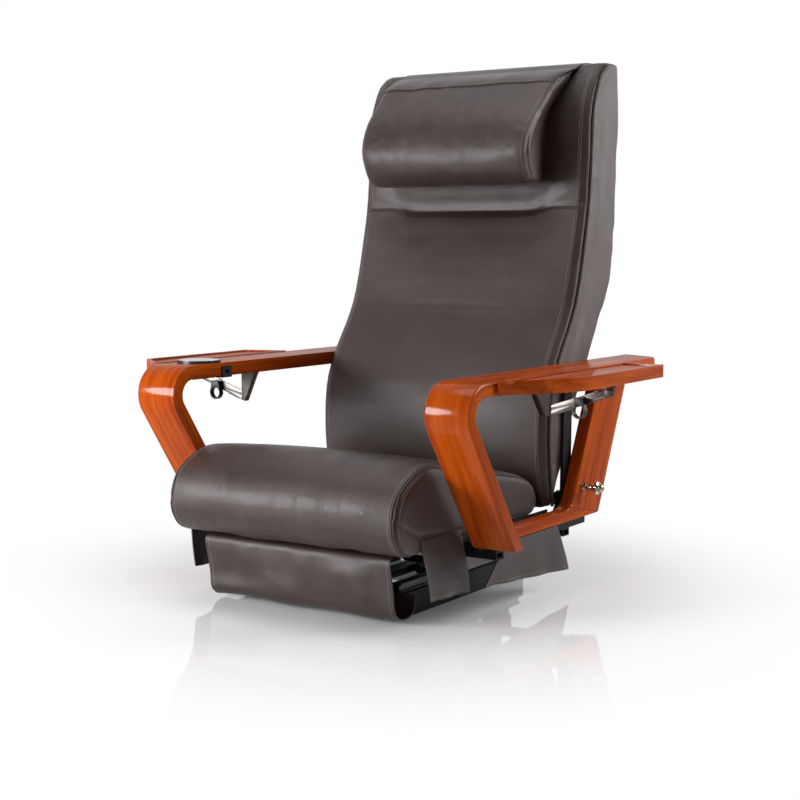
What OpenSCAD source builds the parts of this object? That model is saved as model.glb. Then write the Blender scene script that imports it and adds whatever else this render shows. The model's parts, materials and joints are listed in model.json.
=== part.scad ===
// Air massage chair top for a pedicure station: a sliding carriage on a low steel base,
// a cushioned seat and reclining back, bentwood armrests and two fold-down side trays.
// Millimetres. X runs across the chair, the sitter faces -Y and Z is up from the floor.
// The origin is the centre of the four floor bolts.

/* [Seat] */
// Width of the seat cushion
seat_w = 528; // [480:4:540]
// Length of the seat cushion, front roll to rear end
seat_d = 506; // [490:2:510]
// Height of the seat cushion, from the underside of the front roll to its top
seat_h = 157; // [130:1:170]
// Rear end of the seat cushion along the chair
seat_rear_y = 142; // [138:1:146]
// How far the middle of the seat stands above its seams
seat_crown = 8; // [2:1:9]
// Height of the underside of the seat board above the floor
pan_z = 138; // [134:1:150]
// Thickness of the seat board
pan_t = 12; // [9:1:15]

/* [Backrest] */
// Width of the backrest
back_w = 550; // [500:5:556]
// Height of the backrest cushion
back_h = 904; // [820:4:920]
// Depth that the bent backrest profile spans
back_d = 332; // [320:2:350]
// How far the waist of the backrest stands in front of its seams
back_bulge = 30; // [15:1:32]
// Depth of the hollow between the two head wings
wing_depth = 9; // [4:1:12]
// Thickness of the front pad
pad_t = 44; // [35:1:46]
// Wall of the padded side and rear cover
cover_t = 14; // [8:1:16]
// Backward travel of the backrest in degrees
recline_deg = 28; // [15:1:30]
// Width of the head pillow
pillow_w = 428; // [360:4:440]

/* [Armrests] */
// Least gap between the seat and each armrest
seat_arm_gap = 22; // [20:1:36]
// Least gap between the backrest and each armrest
back_arm_gap = 11; // [9:1:20]
// Width of each armrest plank
arm_w = 92; // [80:1:100]
// Thickness of the bent planks
arm_t = 27; // [22:1:29]
// Height of the armrest's top above the floor
arm_top_z = 447; // [430:1:460]
// Outer radius of the bent front
arm_bend_r = 57; // [45:1:60]
// Centre of the bent front along the chair
arm_bend_y = -262; // [-270:1:-250]
// Slope of the front leg from the vertical, in degrees
leg_deg = 34.5; // [33:0.5:36]
// Thickness of the side rail and rear upright boards
board_t = 28; // [22:1:30]
// Height of the side rail
rail_h = 23; // [20:1:28]
// Length of the purse hook
hook_l = 46; // [40:1:56]

/* [Trays] */
// Length of each tray
tray_l = 495; // [440:5:500]
// Width of each tray
tray_w = 91; // [80:1:96]
// Thickness of each tray
tray_t = 25; // [20:1:26]
// Depth of the hollow in a tray's top
tray_hollow = 4; // [2:0.5:6]
// Width of the rim round the hollow
tray_rim = 9; // [6:0.5:12]
// Rear end of the sitter's left tray along the chair
tray_rear_left_y = 262; // [240:1:270]
// Rear end of the sitter's right tray along the chair
tray_rear_right_y = 164; // [150:1:190]

/* [Carriage and base] */
// Forward travel of the carriage
slide_travel = 130; // [80:5:134]
// Length of the base frame
base_l = 450; // [440:2:460]
// Height of the base frame's side tubes
base_h = 45; // [40:1:50]
// Distance between the centres of the side tubes
base_track = 335; // [320:1:350]
// Width of the side tubes
base_tube_w = 35; // [30:1:38]
// Floor bolt spacing across the chair
bolt_dx = 260; // [250:1:270]
// Floor bolt spacing along the chair
bolt_dy = 370; // [350:1:380]
// Diameter of a floor bolt hole
bolt_d = 11; // [9:0.5:13]

/* [Hidden] */
$fn = 48;

// Clearances: between soft or neighbouring pieces, in a running fit, and the overrun of a cut
gap = 0.3;
fit = 0.05;
over = 1;

// Seat board, under the cushion and behind its front roll
seat_front_y = seat_rear_y - seat_d;
pan_front_inset = 86;
pan_rear_inset = 25.3;
pan_front_y = seat_front_y + pan_front_inset;
pan_rear_y = seat_rear_y - pan_rear_inset;
pan_top_z = pan_z + pan_t;
bag_t = 10;
spigot_d = 12;
seat_bag_inset = 64;
seat_bag_w = seat_w - 2 * seat_bag_inset;
seat_bag_front_y = -170;
seat_bag_rear_y = 106;
seat_bag_mid_y = 15;

// Base frame and slide
base_wall = 3;
cross_w = 30;
tab_t = 6;
tab_w = 44;
rail_w = 22;
slide_rail_h = 18;
runner_l = 60;
runner_h = 15;
runner_lip = 4;
runner_front_y = -40;
runner_rear_y = 140;
carriage_z = base_h + slide_rail_h + gap + runner_h;

// Carriage: side tubes along the chair, then two cross tubes, then the arm bars and seat bearers
carriage_tube = 25;
carriage_wall = 2.5;
carriage_front_y = -112;
carriage_rear_y = 185;
cross_z = carriage_z + carriage_tube;
cross_t = 15;
bar_z = cross_z + cross_t;
// Inner face of the armrests and their side boards; the bars under the boards stand back a little
arm_x = max(seat_w / 2 + seat_arm_gap, back_w / 2 + back_arm_gap);
board_out_x = arm_x + board_t;
bar_setback = 3;
bar_out_x = board_out_x - bar_setback;
bar_h = 12.7;
bar_front_y = carriage_front_y;
bar_rear_y = 254;
bearer_t = 3;
bearer_w = 30;
bearer_inset = 2;
bearer_bracket_gap = 10.5;
bearer_front_y = pan_front_y;

// Linear actuators
rod_d = 12;
slide_tube_d = 28;
slide_act_z = base_h / 2;
slide_act_rear_y = 184;
// Part of the rod that stays in the tube at full travel
slide_hold = 47;
slide_eye_gap = 13;
motor_d = 36;
motor_l = 80;
gearbox_l = 20;
slide_tube_front_y = slide_act_rear_y - rod_d - gearbox_l - slide_travel - slide_hold;
slide_rod_end_y = slide_tube_front_y - slide_eye_gap;
recline_x = 100;
recline_tube_d = 26;

// Recline pivot, behind the foot of the backrest
pivot_y = 222;
pivot_z = 168;
lever_r = 80;
lever_w = 22;
lever_t = 6;
pin_d = 8;
ear_x = rod_d / 2 + gap + lever_t / 2;
lever_end_y = pivot_y + lever_r * sin(recline_deg / 2);
lever_end_z = pivot_z - lever_r * cos(recline_deg / 2);
recline_stroke = 2 * lever_r * sin(recline_deg / 2);
lever_mid_z = pivot_z - lever_r * (1 + cos(recline_deg / 2)) / 2;
recline_tube_front_y = carriage_front_y + carriage_tube + gap;
recline_pin_y = recline_tube_front_y - rod_d;
recline_tube_rear_y = 130;

// Recline hardware beside the backrest
yoke_gap = 4;
yoke_x = back_w / 2 + yoke_gap;
yoke_t = 6;
yoke_tube_d = 25;
bracket_gap = 0.5;
bracket_t = 6;
bracket_x = yoke_x - bracket_gap - bracket_t;
bearer_x = min(seat_w / 2 - bearer_inset, bracket_x - bearer_bracket_gap);
pan_side_gap = 3;
pan_w = 2 * (bearer_x - bearer_t - pan_side_gap);
yoke_bore_d = 12;
collar_d = 34;
collar_w = 8;

// Armrest outline
arm_out_x = arm_x + arm_w;
arm_bend_z = arm_top_z - arm_bend_r;
arm_under_z = arm_top_z - arm_t;
arm_inner_r = arm_bend_r - arm_t;
arm_rear_y = 490;
rail_z = bar_z + bar_h;
rail_top_z = rail_z + rail_h;
arm_foot_z = rail_z;
upright_w = 132;
upright_foot_y = 311;
upright_deg = 25.2;

// Tray hinge and folding brace, in a plane across the chair
tray_gap = 6;
tray_x = arm_out_x + tray_gap;
tray_proud = 1;
tray_z = arm_top_z + tray_proud - tray_t;
hinge_x = arm_out_x + tray_gap / 2;
hinge_r = 3;
hinge_pin_d = 3;
leaf_t = 2;
leaf_w = 26;
leaf_fixed_w = 13;
knuckle_count = 5;
leaf_l = 60;
hinge_drop = 1.5;
hinge_z = arm_under_z - hinge_drop;
hinge_end_inset = 122.5;
brace_in_dx = 47;
brace_in_dz = 54;
brace_out_dx = 72;
brace_out_dz = 15;
brace_in_x = arm_out_x - brace_in_dx;
brace_in_z = arm_under_z - brace_in_dz;
brace_out_x = tray_x + brace_out_dx;
brace_out_z = tray_z - brace_out_dz;
elbow_share = 0.574;
elbow_x = brace_in_x + elbow_share * (brace_out_x - brace_in_x);
elbow_z = brace_in_z + elbow_share * (brace_out_z - brace_in_z);
link_t = 3;
link_w = 18;
link_flange = 9;
rivet_d = 8;
rivet_head = 13;
rivet_head_t = 2;
brace_offset_y = 215;
strap_w = 12;
strap_t = 3;
loop_w = 28;
loop_h = 42;

// The sitter's left is +X, side 1, and the right is -X, side -1
function tray_rear(s) = s > 0 ? tray_rear_left_y : tray_rear_right_y;
function tray_mid(s) = tray_rear(s) - tray_l / 2;
function brace_y(s) = tray_rear(s) - brace_offset_y;

// Curves through points chosen by hand
function spline(a, b, c, d, t) =
    0.5 * (2 * b + (c - a) * t + (2 * a - 5 * b + 4 * c - d) * t * t
           + (3 * b - a - 3 * c + d) * t * t * t);
function smooth(p, k) = [
    for (i = [0 : len(p) - 2]) for (s = [0 : k - 1])
        spline(p[max(i - 1, 0)], p[i], p[i + 1], p[min(i + 2, len(p) - 1)], s / k),
    p[len(p) - 1]];
function arc(c, r, a0, a1, n) = [
    for (i = [0 : n]) c + r * [cos(a0 + (a1 - a0) * i / n), sin(a0 + (a1 - a0) * i / n)]];
function unit(v) = v / norm(v);
function reverse(p) = [for (i = [len(p) - 1 : -1 : 0]) p[i]];
// Position across a cushion, from -1 to 1, with columns drawn together at the edges
function across(n) = [for (i = [0 : n]) sin(90 * (2 * i / n - 1))];
// How far a rounded edge of radius r falls back at distance x from the middle
function edge_fall(x, half, r) =
    abs(x) <= half - r ? 0 : r - sqrt(max(0, r * r - pow(abs(x) - half + r, 2)));

// Closed solid between an outer and an inner sheet of points, outer[i][j] and inner[i][j]
module two_sheet(outer, inner) {
    n = len(outer);
    m = len(outer[0]);
    k = n * m;
    points = concat([for (row = outer) each row], [for (row = inner) each row]);
    sheets = [for (i = [0 : n - 2]) for (j = [0 : m - 2])
        let (a = i * m + j, b = a + m)
        each [[a, a + 1, b + 1], [a, b + 1, b],
              [k + a, k + b + 1, k + a + 1], [k + a, k + b, k + b + 1]]];
    ends = [for (i = [0 : n - 2]) for (j = [0, m - 1])
        let (a = i * m + j, b = a + m)
        each (j == 0 ? [[a, b, k + b], [a, k + b, k + a]]
                     : [[a, k + b, b], [a, k + a, k + b]])];
    sides = [for (j = [0 : m - 2]) for (i = [0, n - 1])
        let (a = i * m + j, b = a + 1)
        each (i == 0 ? [[a, k + b, b], [a, k + a, k + b]]
                     : [[a, b, k + b], [a, k + b, k + a]])];
    polyhedron(points, concat(sheets, ends, sides), convexity = 6);
}

// Profile in the side view, points [y, z], from x0 to x1
module side_plate(points, x0, x1) {
    translate([x0, 0, 0]) rotate([90, 0, 90]) linear_extrude(x1 - x0) polygon(points);
}
// Profile in the front view, points [x, z], from y0 to y1
module front_plate(points, y0, y1) {
    translate([0, y1, 0]) rotate([90, 0, 0]) linear_extrude(y1 - y0) polygon(points);
}
module box(x0, x1, y0, y1, z0, z1) {
    translate([x0, y0, z0]) cube([x1 - x0, y1 - y0, z1 - z0]);
}
module rod_x(x0, x1, y, z, d) {
    translate([x0, y, z]) rotate([0, 90, 0]) cylinder(d = d, h = x1 - x0);
}
module rod_y(x, y0, y1, z, d) {
    translate([x, y1, z]) rotate([90, 0, 0]) cylinder(d = d, h = y1 - y0);
}
module rod_z(x, y, z0, z1, d) {
    translate([x, y, z0]) cylinder(d = d, h = z1 - z0);
}
module tube_along_y(x0, x1, y0, y1, z0, z1, wall) {
    difference() {
        box(x0, x1, y0, y1, z0, z1);
        box(x0 + wall, x1 - wall, y0 - over, y1 + over, z0 + wall, z1 - wall);
    }
}
module tube_along_x(x0, x1, y0, y1, z0, z1, wall) {
    difference() {
        box(x0, x1, y0, y1, z0, z1);
        box(x0 - over, x1 + over, y0 + wall, y1 - wall, z0 + wall, z1 - wall);
    }
}
module on_side(s) {
    mirror([s < 0 ? 1 : 0, 0, 0]) children();
}

// Base frame: two side tubes, two cross tubes and four bolt tabs
module base_frame() color("#26262a") {
    out = base_track / 2 + base_tube_w / 2;
    in = base_track / 2 - base_tube_w / 2;
    difference() {
        union() {
            for (s = [-1, 1]) on_side(s) {
                tube_along_y(in, out, -base_l / 2, base_l / 2, 0, base_h, base_wall);
                for (t = [-1, 1])
                    box(bolt_dx / 2 - tab_w / 2, in, t * bolt_dy / 2 - tab_w / 2,
                        t * bolt_dy / 2 + tab_w / 2, 0, tab_t);
            }
            for (t = [-1, 1]) {
                y = t * (base_l / 2 - cross_w / 2);
                tube_along_x(-in, in, y - cross_w / 2, y + cross_w / 2, tab_t, base_h - over,
                             base_wall);
            }
        }
        for (s = [-1, 1]) for (t = [-1, 1])
            rod_z(s * bolt_dx / 2, t * bolt_dy / 2, -over, tab_t + over, bolt_d);
    }
    // Ears of the slide actuator's rear pin
    difference() {
        for (t = [-1, 1])
            box(t * ear_x - lever_t / 2, t * ear_x + lever_t / 2, slide_act_rear_y - pin_d,
                base_l / 2 - cross_w + base_wall, slide_act_z - rod_d, slide_act_z + rod_d);
        rod_x(-ear_x - lever_t, ear_x + lever_t, slide_act_rear_y, slide_act_z,
              pin_d + 2 * fit);
    }
}

// Fixed slide rails on the side tubes, with an end stop at the front
module slide_rails() color("#1c1c1f") {
    for (s = [-1, 1]) on_side(s) {
        x = base_track / 2;
        z = base_h;
        difference() {
            box(x - rail_w / 2, x + rail_w / 2, -base_l / 2, base_l / 2, z, z + slide_rail_h);
            for (t = [-1, 1])
                box(x + t * rail_w / 2 - runner_lip, x + t * rail_w / 2 + runner_lip,
                    -base_l / 2 - over, base_l / 2 + over, z + runner_lip,
                    z + slide_rail_h - runner_lip);
        }
    }
}

// Runners: four blocks that grip the rails and carry the carriage
module slide_runners() color("#2d2d31") {
    top = base_h + slide_rail_h;
    for (s = [-1, 1]) on_side(s) for (y = [runner_front_y, runner_rear_y]) {
        x = base_track / 2;
        box(x - rail_w / 2 - runner_lip, x + rail_w / 2 + runner_lip, y - runner_l / 2,
            y + runner_l / 2, top + gap, carriage_z);
        for (u = [-1, 1])
            box(x + u * (rail_w / 2 + gap + runner_lip / 2) - runner_lip / 2,
                x + u * (rail_w / 2 + gap + runner_lip / 2) + runner_lip / 2,
                y - runner_l / 2, y + runner_l / 2, top - slide_rail_h / 2, top + gap);
    }
}

// Linear actuator along the chair: a tube open at its front, a gearbox at y1 and a motor beside it
module actuator(x, y0, y1, z, tube_d) {
    case_d = tube_d + 2 * base_wall;
    motor_x = x + (tube_d + motor_d) / 2 + over;
    difference() {
        union() {
            rod_y(x, y0, y1 - gearbox_l, z, tube_d);
            rod_y(x, y1 - gearbox_l, y1, z, case_d);
            rod_y(motor_x, y1 - gearbox_l, y1, z, case_d);
            box(x, motor_x, y1 - gearbox_l, y1, z - case_d / 2, z + case_d / 2);
            rod_y(motor_x, y1 - gearbox_l - motor_l, y1 - gearbox_l, z, motor_d);
        }
        rod_y(x, y0 - over, y1 - gearbox_l, z, rod_d + 2 * fit);
    }
    // Rear lug on its pin
    rod_y(x, y1, y1 + rod_d, z, rod_d);
    rod_x(x - rod_d / 2, x + rod_d / 2, y1 + rod_d, z, 2 * pin_d);
    rod_x(x - 2 * rod_d, x + 2 * rod_d, y1 + rod_d, z, pin_d);
}
module slide_actuator() color("#3a3a3e") {
    actuator(0, slide_tube_front_y, slide_act_rear_y - rod_d, slide_act_z, slide_tube_d);
}
// Slide actuator's rod, moving with the carriage
module slide_rod() color("#c9ccd0") {
    difference() {
        union() {
            rod_y(0, slide_rod_end_y + pin_d - over, slide_act_rear_y - rod_d - gearbox_l - over,
                  slide_act_z, rod_d);
            rod_x(over - rod_d / 2, rod_d / 2 - over, slide_rod_end_y, slide_act_z, 2 * pin_d);
        }
        rod_x(-rod_d, rod_d, slide_rod_end_y, slide_act_z, pin_d);
    }
}

// Carriage: side tubes over the runners, cross tubes above them with open ends
module carriage_frame() color("#232327") {
    x = base_track / 2;
    for (s = [-1, 1]) on_side(s)
        tube_along_y(x - carriage_tube / 2, x + carriage_tube / 2, carriage_front_y,
                     carriage_rear_y, carriage_z, cross_z, carriage_wall);
    tube_along_x(-board_out_x, board_out_x, carriage_front_y, carriage_front_y + carriage_tube,
                 cross_z, bar_z, carriage_wall);
    tube_along_x(-bar_out_x, bar_out_x, carriage_rear_y - carriage_tube, carriage_rear_y,
                 cross_z, bar_z, carriage_wall);
    // Ears that hold the front end of the recline actuator
    y = recline_pin_y;
    difference() {
        for (t = [-1, 1]) {
            ear = recline_x + t * ear_x;
            side_plate([[carriage_front_y, cross_z], [carriage_front_y + carriage_tube, cross_z],
                        [y + pin_d, lever_mid_z - pin_d], [y - pin_d, lever_mid_z - pin_d]],
                       ear - lever_t / 2, ear + lever_t / 2);
        }
        rod_x(recline_x - ear_x - lever_t, recline_x + ear_x + lever_t, y, lever_mid_z,
              pin_d + 2 * fit);
    }
}

// Cradle: a folded steel sheet hung between the cross tubes, and the slide rod's bracket
cradle_right_x = -150;
cradle_left_x = 62;
cradle_t = 3;
cradle_z = carriage_z + cradle_t;
bracket_w = 24;
module equipment_cradle() color("#4a4b50") {
    y0 = carriage_front_y + carriage_tube;
    y1 = carriage_rear_y - carriage_tube;
    side_plate([[y0 - carriage_tube, cross_z], [y0 - carriage_tube, cross_z - cradle_t],
                [y0, cross_z - cradle_t], [y0, cradle_z],
                [y1, cradle_z], [y1, cross_z - cradle_t],
                [y1 + carriage_tube, cross_z - cradle_t], [y1 + carriage_tube, cross_z],
                [y1 - cradle_t, cross_z], [y1 - cradle_t, cradle_z + cradle_t],
                [y0 + cradle_t, cradle_z + cradle_t], [y0 + cradle_t, cross_z]],
               cradle_right_x, cradle_left_x);
    for (t = [-1, 1])
        box(t * (rod_d / 2 + gap + cradle_t / 2) - cradle_t / 2,
            t * (rod_d / 2 + gap + cradle_t / 2) + cradle_t / 2,
            slide_rod_end_y - bracket_w / 2, slide_rod_end_y + bracket_w / 2,
            slide_act_z - rod_d, cradle_z);
    rod_x(-rod_d / 2 - gap, rod_d / 2 + gap, slide_rod_end_y, slide_act_z, pin_d - 2 * fit);
}

// Air pump and valve block on the cradle, control box beside the carriage
pump_w = 110;
pump_l = 150;
pump_h = 46;
pump_foot_h = 6;
pump_y = 15;
pump_x = -75;
pump_rib_share = 0.06;
module air_pump() color("#2b2b2e") {
    z = cradle_z + cradle_t;
    for (s = [-1, 1]) for (t = [-1, 1])
        rod_z(pump_x + s * pump_w / 3, pump_y + t * pump_l / 3, z, z + pump_foot_h,
              2 * pump_foot_h);
    difference() {
        box(pump_x - pump_w / 2, pump_x + pump_w / 2, pump_y - pump_l / 2,
            pump_y + pump_l / 2, z + pump_foot_h, z + pump_h);
        for (i = [-3 : 3])
            box(pump_x - pump_w / 2 - over, pump_x + pump_w / 2 + over,
                pump_y + i * pump_l / 9 - pump_l * pump_rib_share / 2,
                pump_y + i * pump_l / 9 + pump_l * pump_rib_share / 2,
                z + pump_h - base_wall, z + pump_h + over);
    }
    rod_x(pump_x + pump_w / 2, pump_x + pump_w / 2 + spigot_d, pump_y, z + pump_h / 2, spigot_d);
}
valve_w = 44;
valve_l = 90;
valve_h = 26;
valve_x = 26;
valve_y = 15;
hose_d = 12;
module valve_block() color("#d6d6d2") {
    z = cradle_z + cradle_t;
    box(valve_x - valve_w / 2, valve_x + valve_w / 2, valve_y - valve_l / 2,
        valve_y + valve_l / 2, z, z + valve_h);
    for (i = [-1, 1])
        rod_z(valve_x, valve_y + i * valve_l / 4, z + valve_h, z + valve_h + base_wall,
              spigot_d);
}
box_w = 56;
box_l = 150;
box_h = 30;
box_front_y = -108;
inlet_w = 28;
inlet_h = 20;
module control_box() color("#c6c4c6") {
    x = base_track / 2 + rail_w / 2 + runner_lip + 2 * gap;
    z = cross_z - gap - box_h;
    difference() {
        box(x, x + box_w, box_front_y, box_front_y + box_l, z, z + box_h);
        box(x + box_w / 2 - inlet_w / 2, x + box_w / 2 + inlet_w / 2,
            box_front_y + box_l - inlet_h, box_front_y + box_l + over,
            z + box_h / 2 - inlet_h / 2, z + box_h / 2 + inlet_h / 2);
    }
    for (i = [-1 : 1])
        rod_y(x + box_w / 2 + i * inlet_w / 4, box_front_y + box_l - inlet_h,
              box_front_y + box_l - base_wall, z + box_h / 2, base_wall);
}
// Air hoses: pump to valve block, and one up to each seat bag
module air_hoses() color("#1d1d20") {
    z = cradle_z + cradle_t;
    x0 = pump_x + pump_w / 2 + spigot_d;
    rod_x(x0, valve_x - valve_w / 2, pump_y, z + pump_h / 2 - spigot_d / 2, hose_d);
    for (i = [-1, 1])
        rod_z(valve_x, valve_y + i * valve_l / 4, z + valve_h + base_wall, pan_z + base_wall,
              hose_d);
}

// Seat bearers: two steel angles along the seat, then the board on them
module seat_bearers() color("#8d9094") {
    for (s = [-1, 1]) on_side(s) {
        box(bearer_x - bearer_w, bearer_x, bearer_front_y, carriage_rear_y, pan_z - bearer_t,
            pan_z);
        box(bearer_x - bearer_t, bearer_x, bearer_front_y, carriage_rear_y, pan_z, pan_top_z);
        for (y = [carriage_front_y, carriage_rear_y - carriage_tube])
            box(bearer_x - bearer_w, bearer_x, y, y + carriage_tube, bar_z, pan_z - bearer_t);
    }
}
module seat_pan() color("#b98f5e") {
    difference() {
        box(-pan_w / 2, pan_w / 2, pan_front_y, pan_rear_y, pan_z, pan_top_z);
        for (i = [-1, 1])
            rod_z(valve_x, valve_y + i * valve_l / 4, pan_z - over, pan_top_z + over,
                  hose_d + 2 * fit);
    }
}

// Seat bags: flat air cells between the board and the cushion, each with a spigot below
module air_cell(x0, x1, y0, y1, z0, z1) {
    r = (z1 - z0) / 2;
    box(x0 + r, x1 - r, y0, y1, z0, z1);
    for (x = [x0 + r, x1 - r]) rod_y(x, y0, y1, z0 + r, 2 * r);
}
module seat_airbags() color("#44484c") {
    edges = [[seat_bag_front_y, seat_bag_mid_y - bag_t / 2],
             [seat_bag_mid_y + bag_t / 2, seat_bag_rear_y]];
    for (e = edges)
        air_cell(-seat_bag_w / 2, seat_bag_w / 2, e[0], e[1], pan_top_z, pan_top_z + bag_t);
    for (i = [-1, 1])
        rod_z(valve_x, valve_y + i * valve_l / 4, pan_z + base_wall, pan_top_z + over, spigot_d);
}

// Seat cushion. Each row pairs a point of the outer outline with one of the underside.
// Outer: shares of the seat's length and height, from the rear of the front roll's foot,
// round the roll, along the top and down the rounded rear.
seat_outer_shares = [
    [0.146, 0.032], [0.087, 0.000], [0.038, 0.064], [0.000, 0.255], [0.000, 0.478],
    [0.026, 0.688], [0.075, 0.828], [0.170, 0.962], [0.245, 0.985], [0.314, 0.924],
    [0.423, 0.847], [0.557, 0.790], [0.757, 0.675], [0.891, 0.580], [0.970, 0.446],
    [1.000, 0.299], [0.996, 0.173], [0.965, 0.092]];
// Underside: share of the way along the board, and share of the way up the board's front edge
seat_under_shares = [
    [0.000, 0.20], [0.000, 0.45], [0.000, 0.75], [0.000, 1.00], [0.015, 1.00],
    [0.040, 1.00], [0.070, 1.00], [0.105, 1.00], [0.160, 1.00], [0.220, 1.00],
    [0.320, 1.00], [0.490, 1.00], [0.745, 1.00], [0.870, 1.00], [0.935, 1.00],
    [0.960, 1.00], [0.980, 1.00], [0.990, 1.00]];
// How much of the crown each row takes
seat_crown_shares = [0, 0, 0.2, 0.6, 0.9, 1, 1, 1, 1, 1, 1, 1, 1, 1, 0.7, 0.4, 0.1, 0];
seat_edge_r = 10;
seat_column_count = 12;
seat_under_l = pan_rear_y + gap - pan_front_y;
module seat_cushion() color("#4d4340") {
    outer = smooth([for (p = seat_outer_shares)
        [seat_front_y + p[0] * seat_d, pan_z + p[1] * seat_h]], 2);
    under = smooth([for (p = seat_under_shares)
        [pan_front_y - gap + p[0] * seat_under_l, pan_z + p[1] * (pan_t + gap)]], 2);
    crown = smooth(seat_crown_shares, 2);
    half = seat_w / 2;
    columns = across(seat_column_count);
    difference() {
        two_sheet(
            [for (u = columns) [for (j = [0 : len(outer) - 1])
                let (d = seat_crown * crown[j] * (1 - u * u) - edge_fall(u * half, half, seat_edge_r),
                     n = unit(outer[j] - under[j]), p = outer[j] + d * n)
                [u * half, p[0], p[1]]]],
            [for (u = columns) [for (p = under) [u * half, p[0], p[1]]]]);
        box(-seat_bag_w / 2 - gap, seat_bag_w / 2 + gap, seat_bag_front_y - gap,
            seat_bag_rear_y + gap, pan_z, pan_top_z + bag_t + gap);
    }
}

// Backrest outline: shares of its depth and height. Each row pairs a point of the front
// seam with the point of the rear edge across from it, from the foot to the top.
back_front_shares = [
    [0.042, 0.000], [0.012, 0.040], [-0.008, 0.085], [-0.024, 0.141], [-0.020, 0.209],
    [0.012, 0.270], [0.104, 0.334], [0.210, 0.388], [0.299, 0.444], [0.362, 0.511],
    [0.410, 0.580], [0.460, 0.659], [0.485, 0.735], [0.497, 0.807], [0.512, 0.881],
    [0.554, 0.926], [0.625, 0.971], [0.744, 1.000]];
back_rear_shares = [
    [0.102, 0.009], [0.175, 0.040], [0.265, 0.083], [0.358, 0.147], [0.452, 0.214],
    [0.563, 0.279], [0.675, 0.343], [0.762, 0.396], [0.840, 0.446], [0.910, 0.509],
    [0.955, 0.576], [0.985, 0.659], [0.997, 0.735], [1.000, 0.807], [1.000, 0.881],
    [0.997, 0.932], [0.988, 0.976], [0.970, 1.000]];
// Forward bulge of the waist, and depth of the hollow between the head wings
back_bulge_shares = [0.10, 0.30, 0.50, 0.58, 0.50, 0.50, 0.60, 0.65, 0.70, 0.70, 0.50, 0.15, 0,
    0, 0, 0, 0, 0];
back_wing_shares = [0, 0, 0, 0, 0, 0, 0, 0, 0, 0.1, 0.5, 1, 1, 1, 1, 0.8, 0.4, 0];
// Part of the depth at each row that the front pad takes at most
back_pad_share = 0.42;
back_foot_y = 156;
back_foot_z = 154;
back_edge_r = 12;
back_rear_r = 26;
back_column_count = 8;
pad_rim = 12;
wing_inner_share = 0.62;
wing_outer_share = 0.80;
function back_place(p) = [back_foot_y + p[0] * back_d, back_foot_z + p[1] * back_h];
back_front = smooth([for (p = back_front_shares) back_place(p)], 2);
back_rear = smooth([for (p = back_rear_shares) back_place(p)], 2);
back_bulge_rows = smooth(back_bulge_shares, 2);
back_wing_rows = smooth(back_wing_shares, 2);
back_rows = len(back_front);
// A row of the backrest at a share of its way from the foot to the top
function back_row(share) = round(share * (back_rows - 1));
function back_dir(j) = unit(back_rear[j] - back_front[j]);
function back_depth(j) = norm(back_rear[j] - back_front[j]);
// Depth of the hollow at share u of the half width, easing in between the wings
function wing_ease(u) = let (t = (abs(u) - wing_inner_share) / (wing_outer_share - wing_inner_share))
    t <= 0 ? 1 : t >= 1 ? 0 : (1 + cos(180 * t)) / 2;
function back_point(x, j, d) = let (p = back_front[j] + d * back_dir(j)) [x, p[0], p[1]];

// Columns of both backrest pieces, with a narrow step where the pad's rim meets the cover's wall
back_half = back_w / 2;
pad_inner = back_half - cover_t - gap;
pillow_u = pillow_w / back_w;
back_u_free = [for (u = across(back_column_count))
    if (u > 0 && u * back_half < pad_inner - gap && abs(u - pillow_u) * back_half > over) u];
back_u_right = concat([for (u = back_u_free) if (u < pillow_u) u],
                      pillow_u * back_half < pad_inner - gap ? [pillow_u] : [],
                      [for (u = back_u_free) if (u > pillow_u) u],
                      [pad_inner / back_half, (pad_inner + gap) / back_half, 1]);
back_u = concat(-reverse(back_u_right), [0], back_u_right);
// Depth of the pad's back face at share u of the half width, in row j
function pad_back(u, j) = let (x = u * back_half)
    abs(x) > pad_inner + gap / 2 || j < 2 || j > back_rows - 3
    ? min(pad_rim + edge_fall(x, back_half, back_edge_r) / 2, back_pad_share * back_depth(j))
    : min(pad_t, back_pad_share * back_depth(j));

// Front pad: bulged at the waist, hollow between the head wings, thin at its rim
module back_cushion() color("#4a413e") {
    two_sheet(
        [for (u = back_u) [for (j = [0 : back_rows - 1])
            back_point(u * back_half, j,
                edge_fall(u * back_half, back_half, back_edge_r)
                - back_bulge * back_bulge_rows[j] * (1 - pow(abs(u), 3))
                + wing_depth * back_wing_rows[j] * wing_ease(u))]],
        [for (u = back_u) [for (j = [0 : back_rows - 1])
            back_point(u * back_half, j, pad_back(u, j))]]);
}

// Points of a line that lies depth d behind the front seam, over rows j0 to j1
function behind(j0, j1, d) = [for (j = [j0 : j1]) back_front[j] + d * back_dir(j)];
function before_rear(j0, j1, d) = [for (j = [j0 : j1]) back_rear[j] - d * back_dir(j)];

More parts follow.
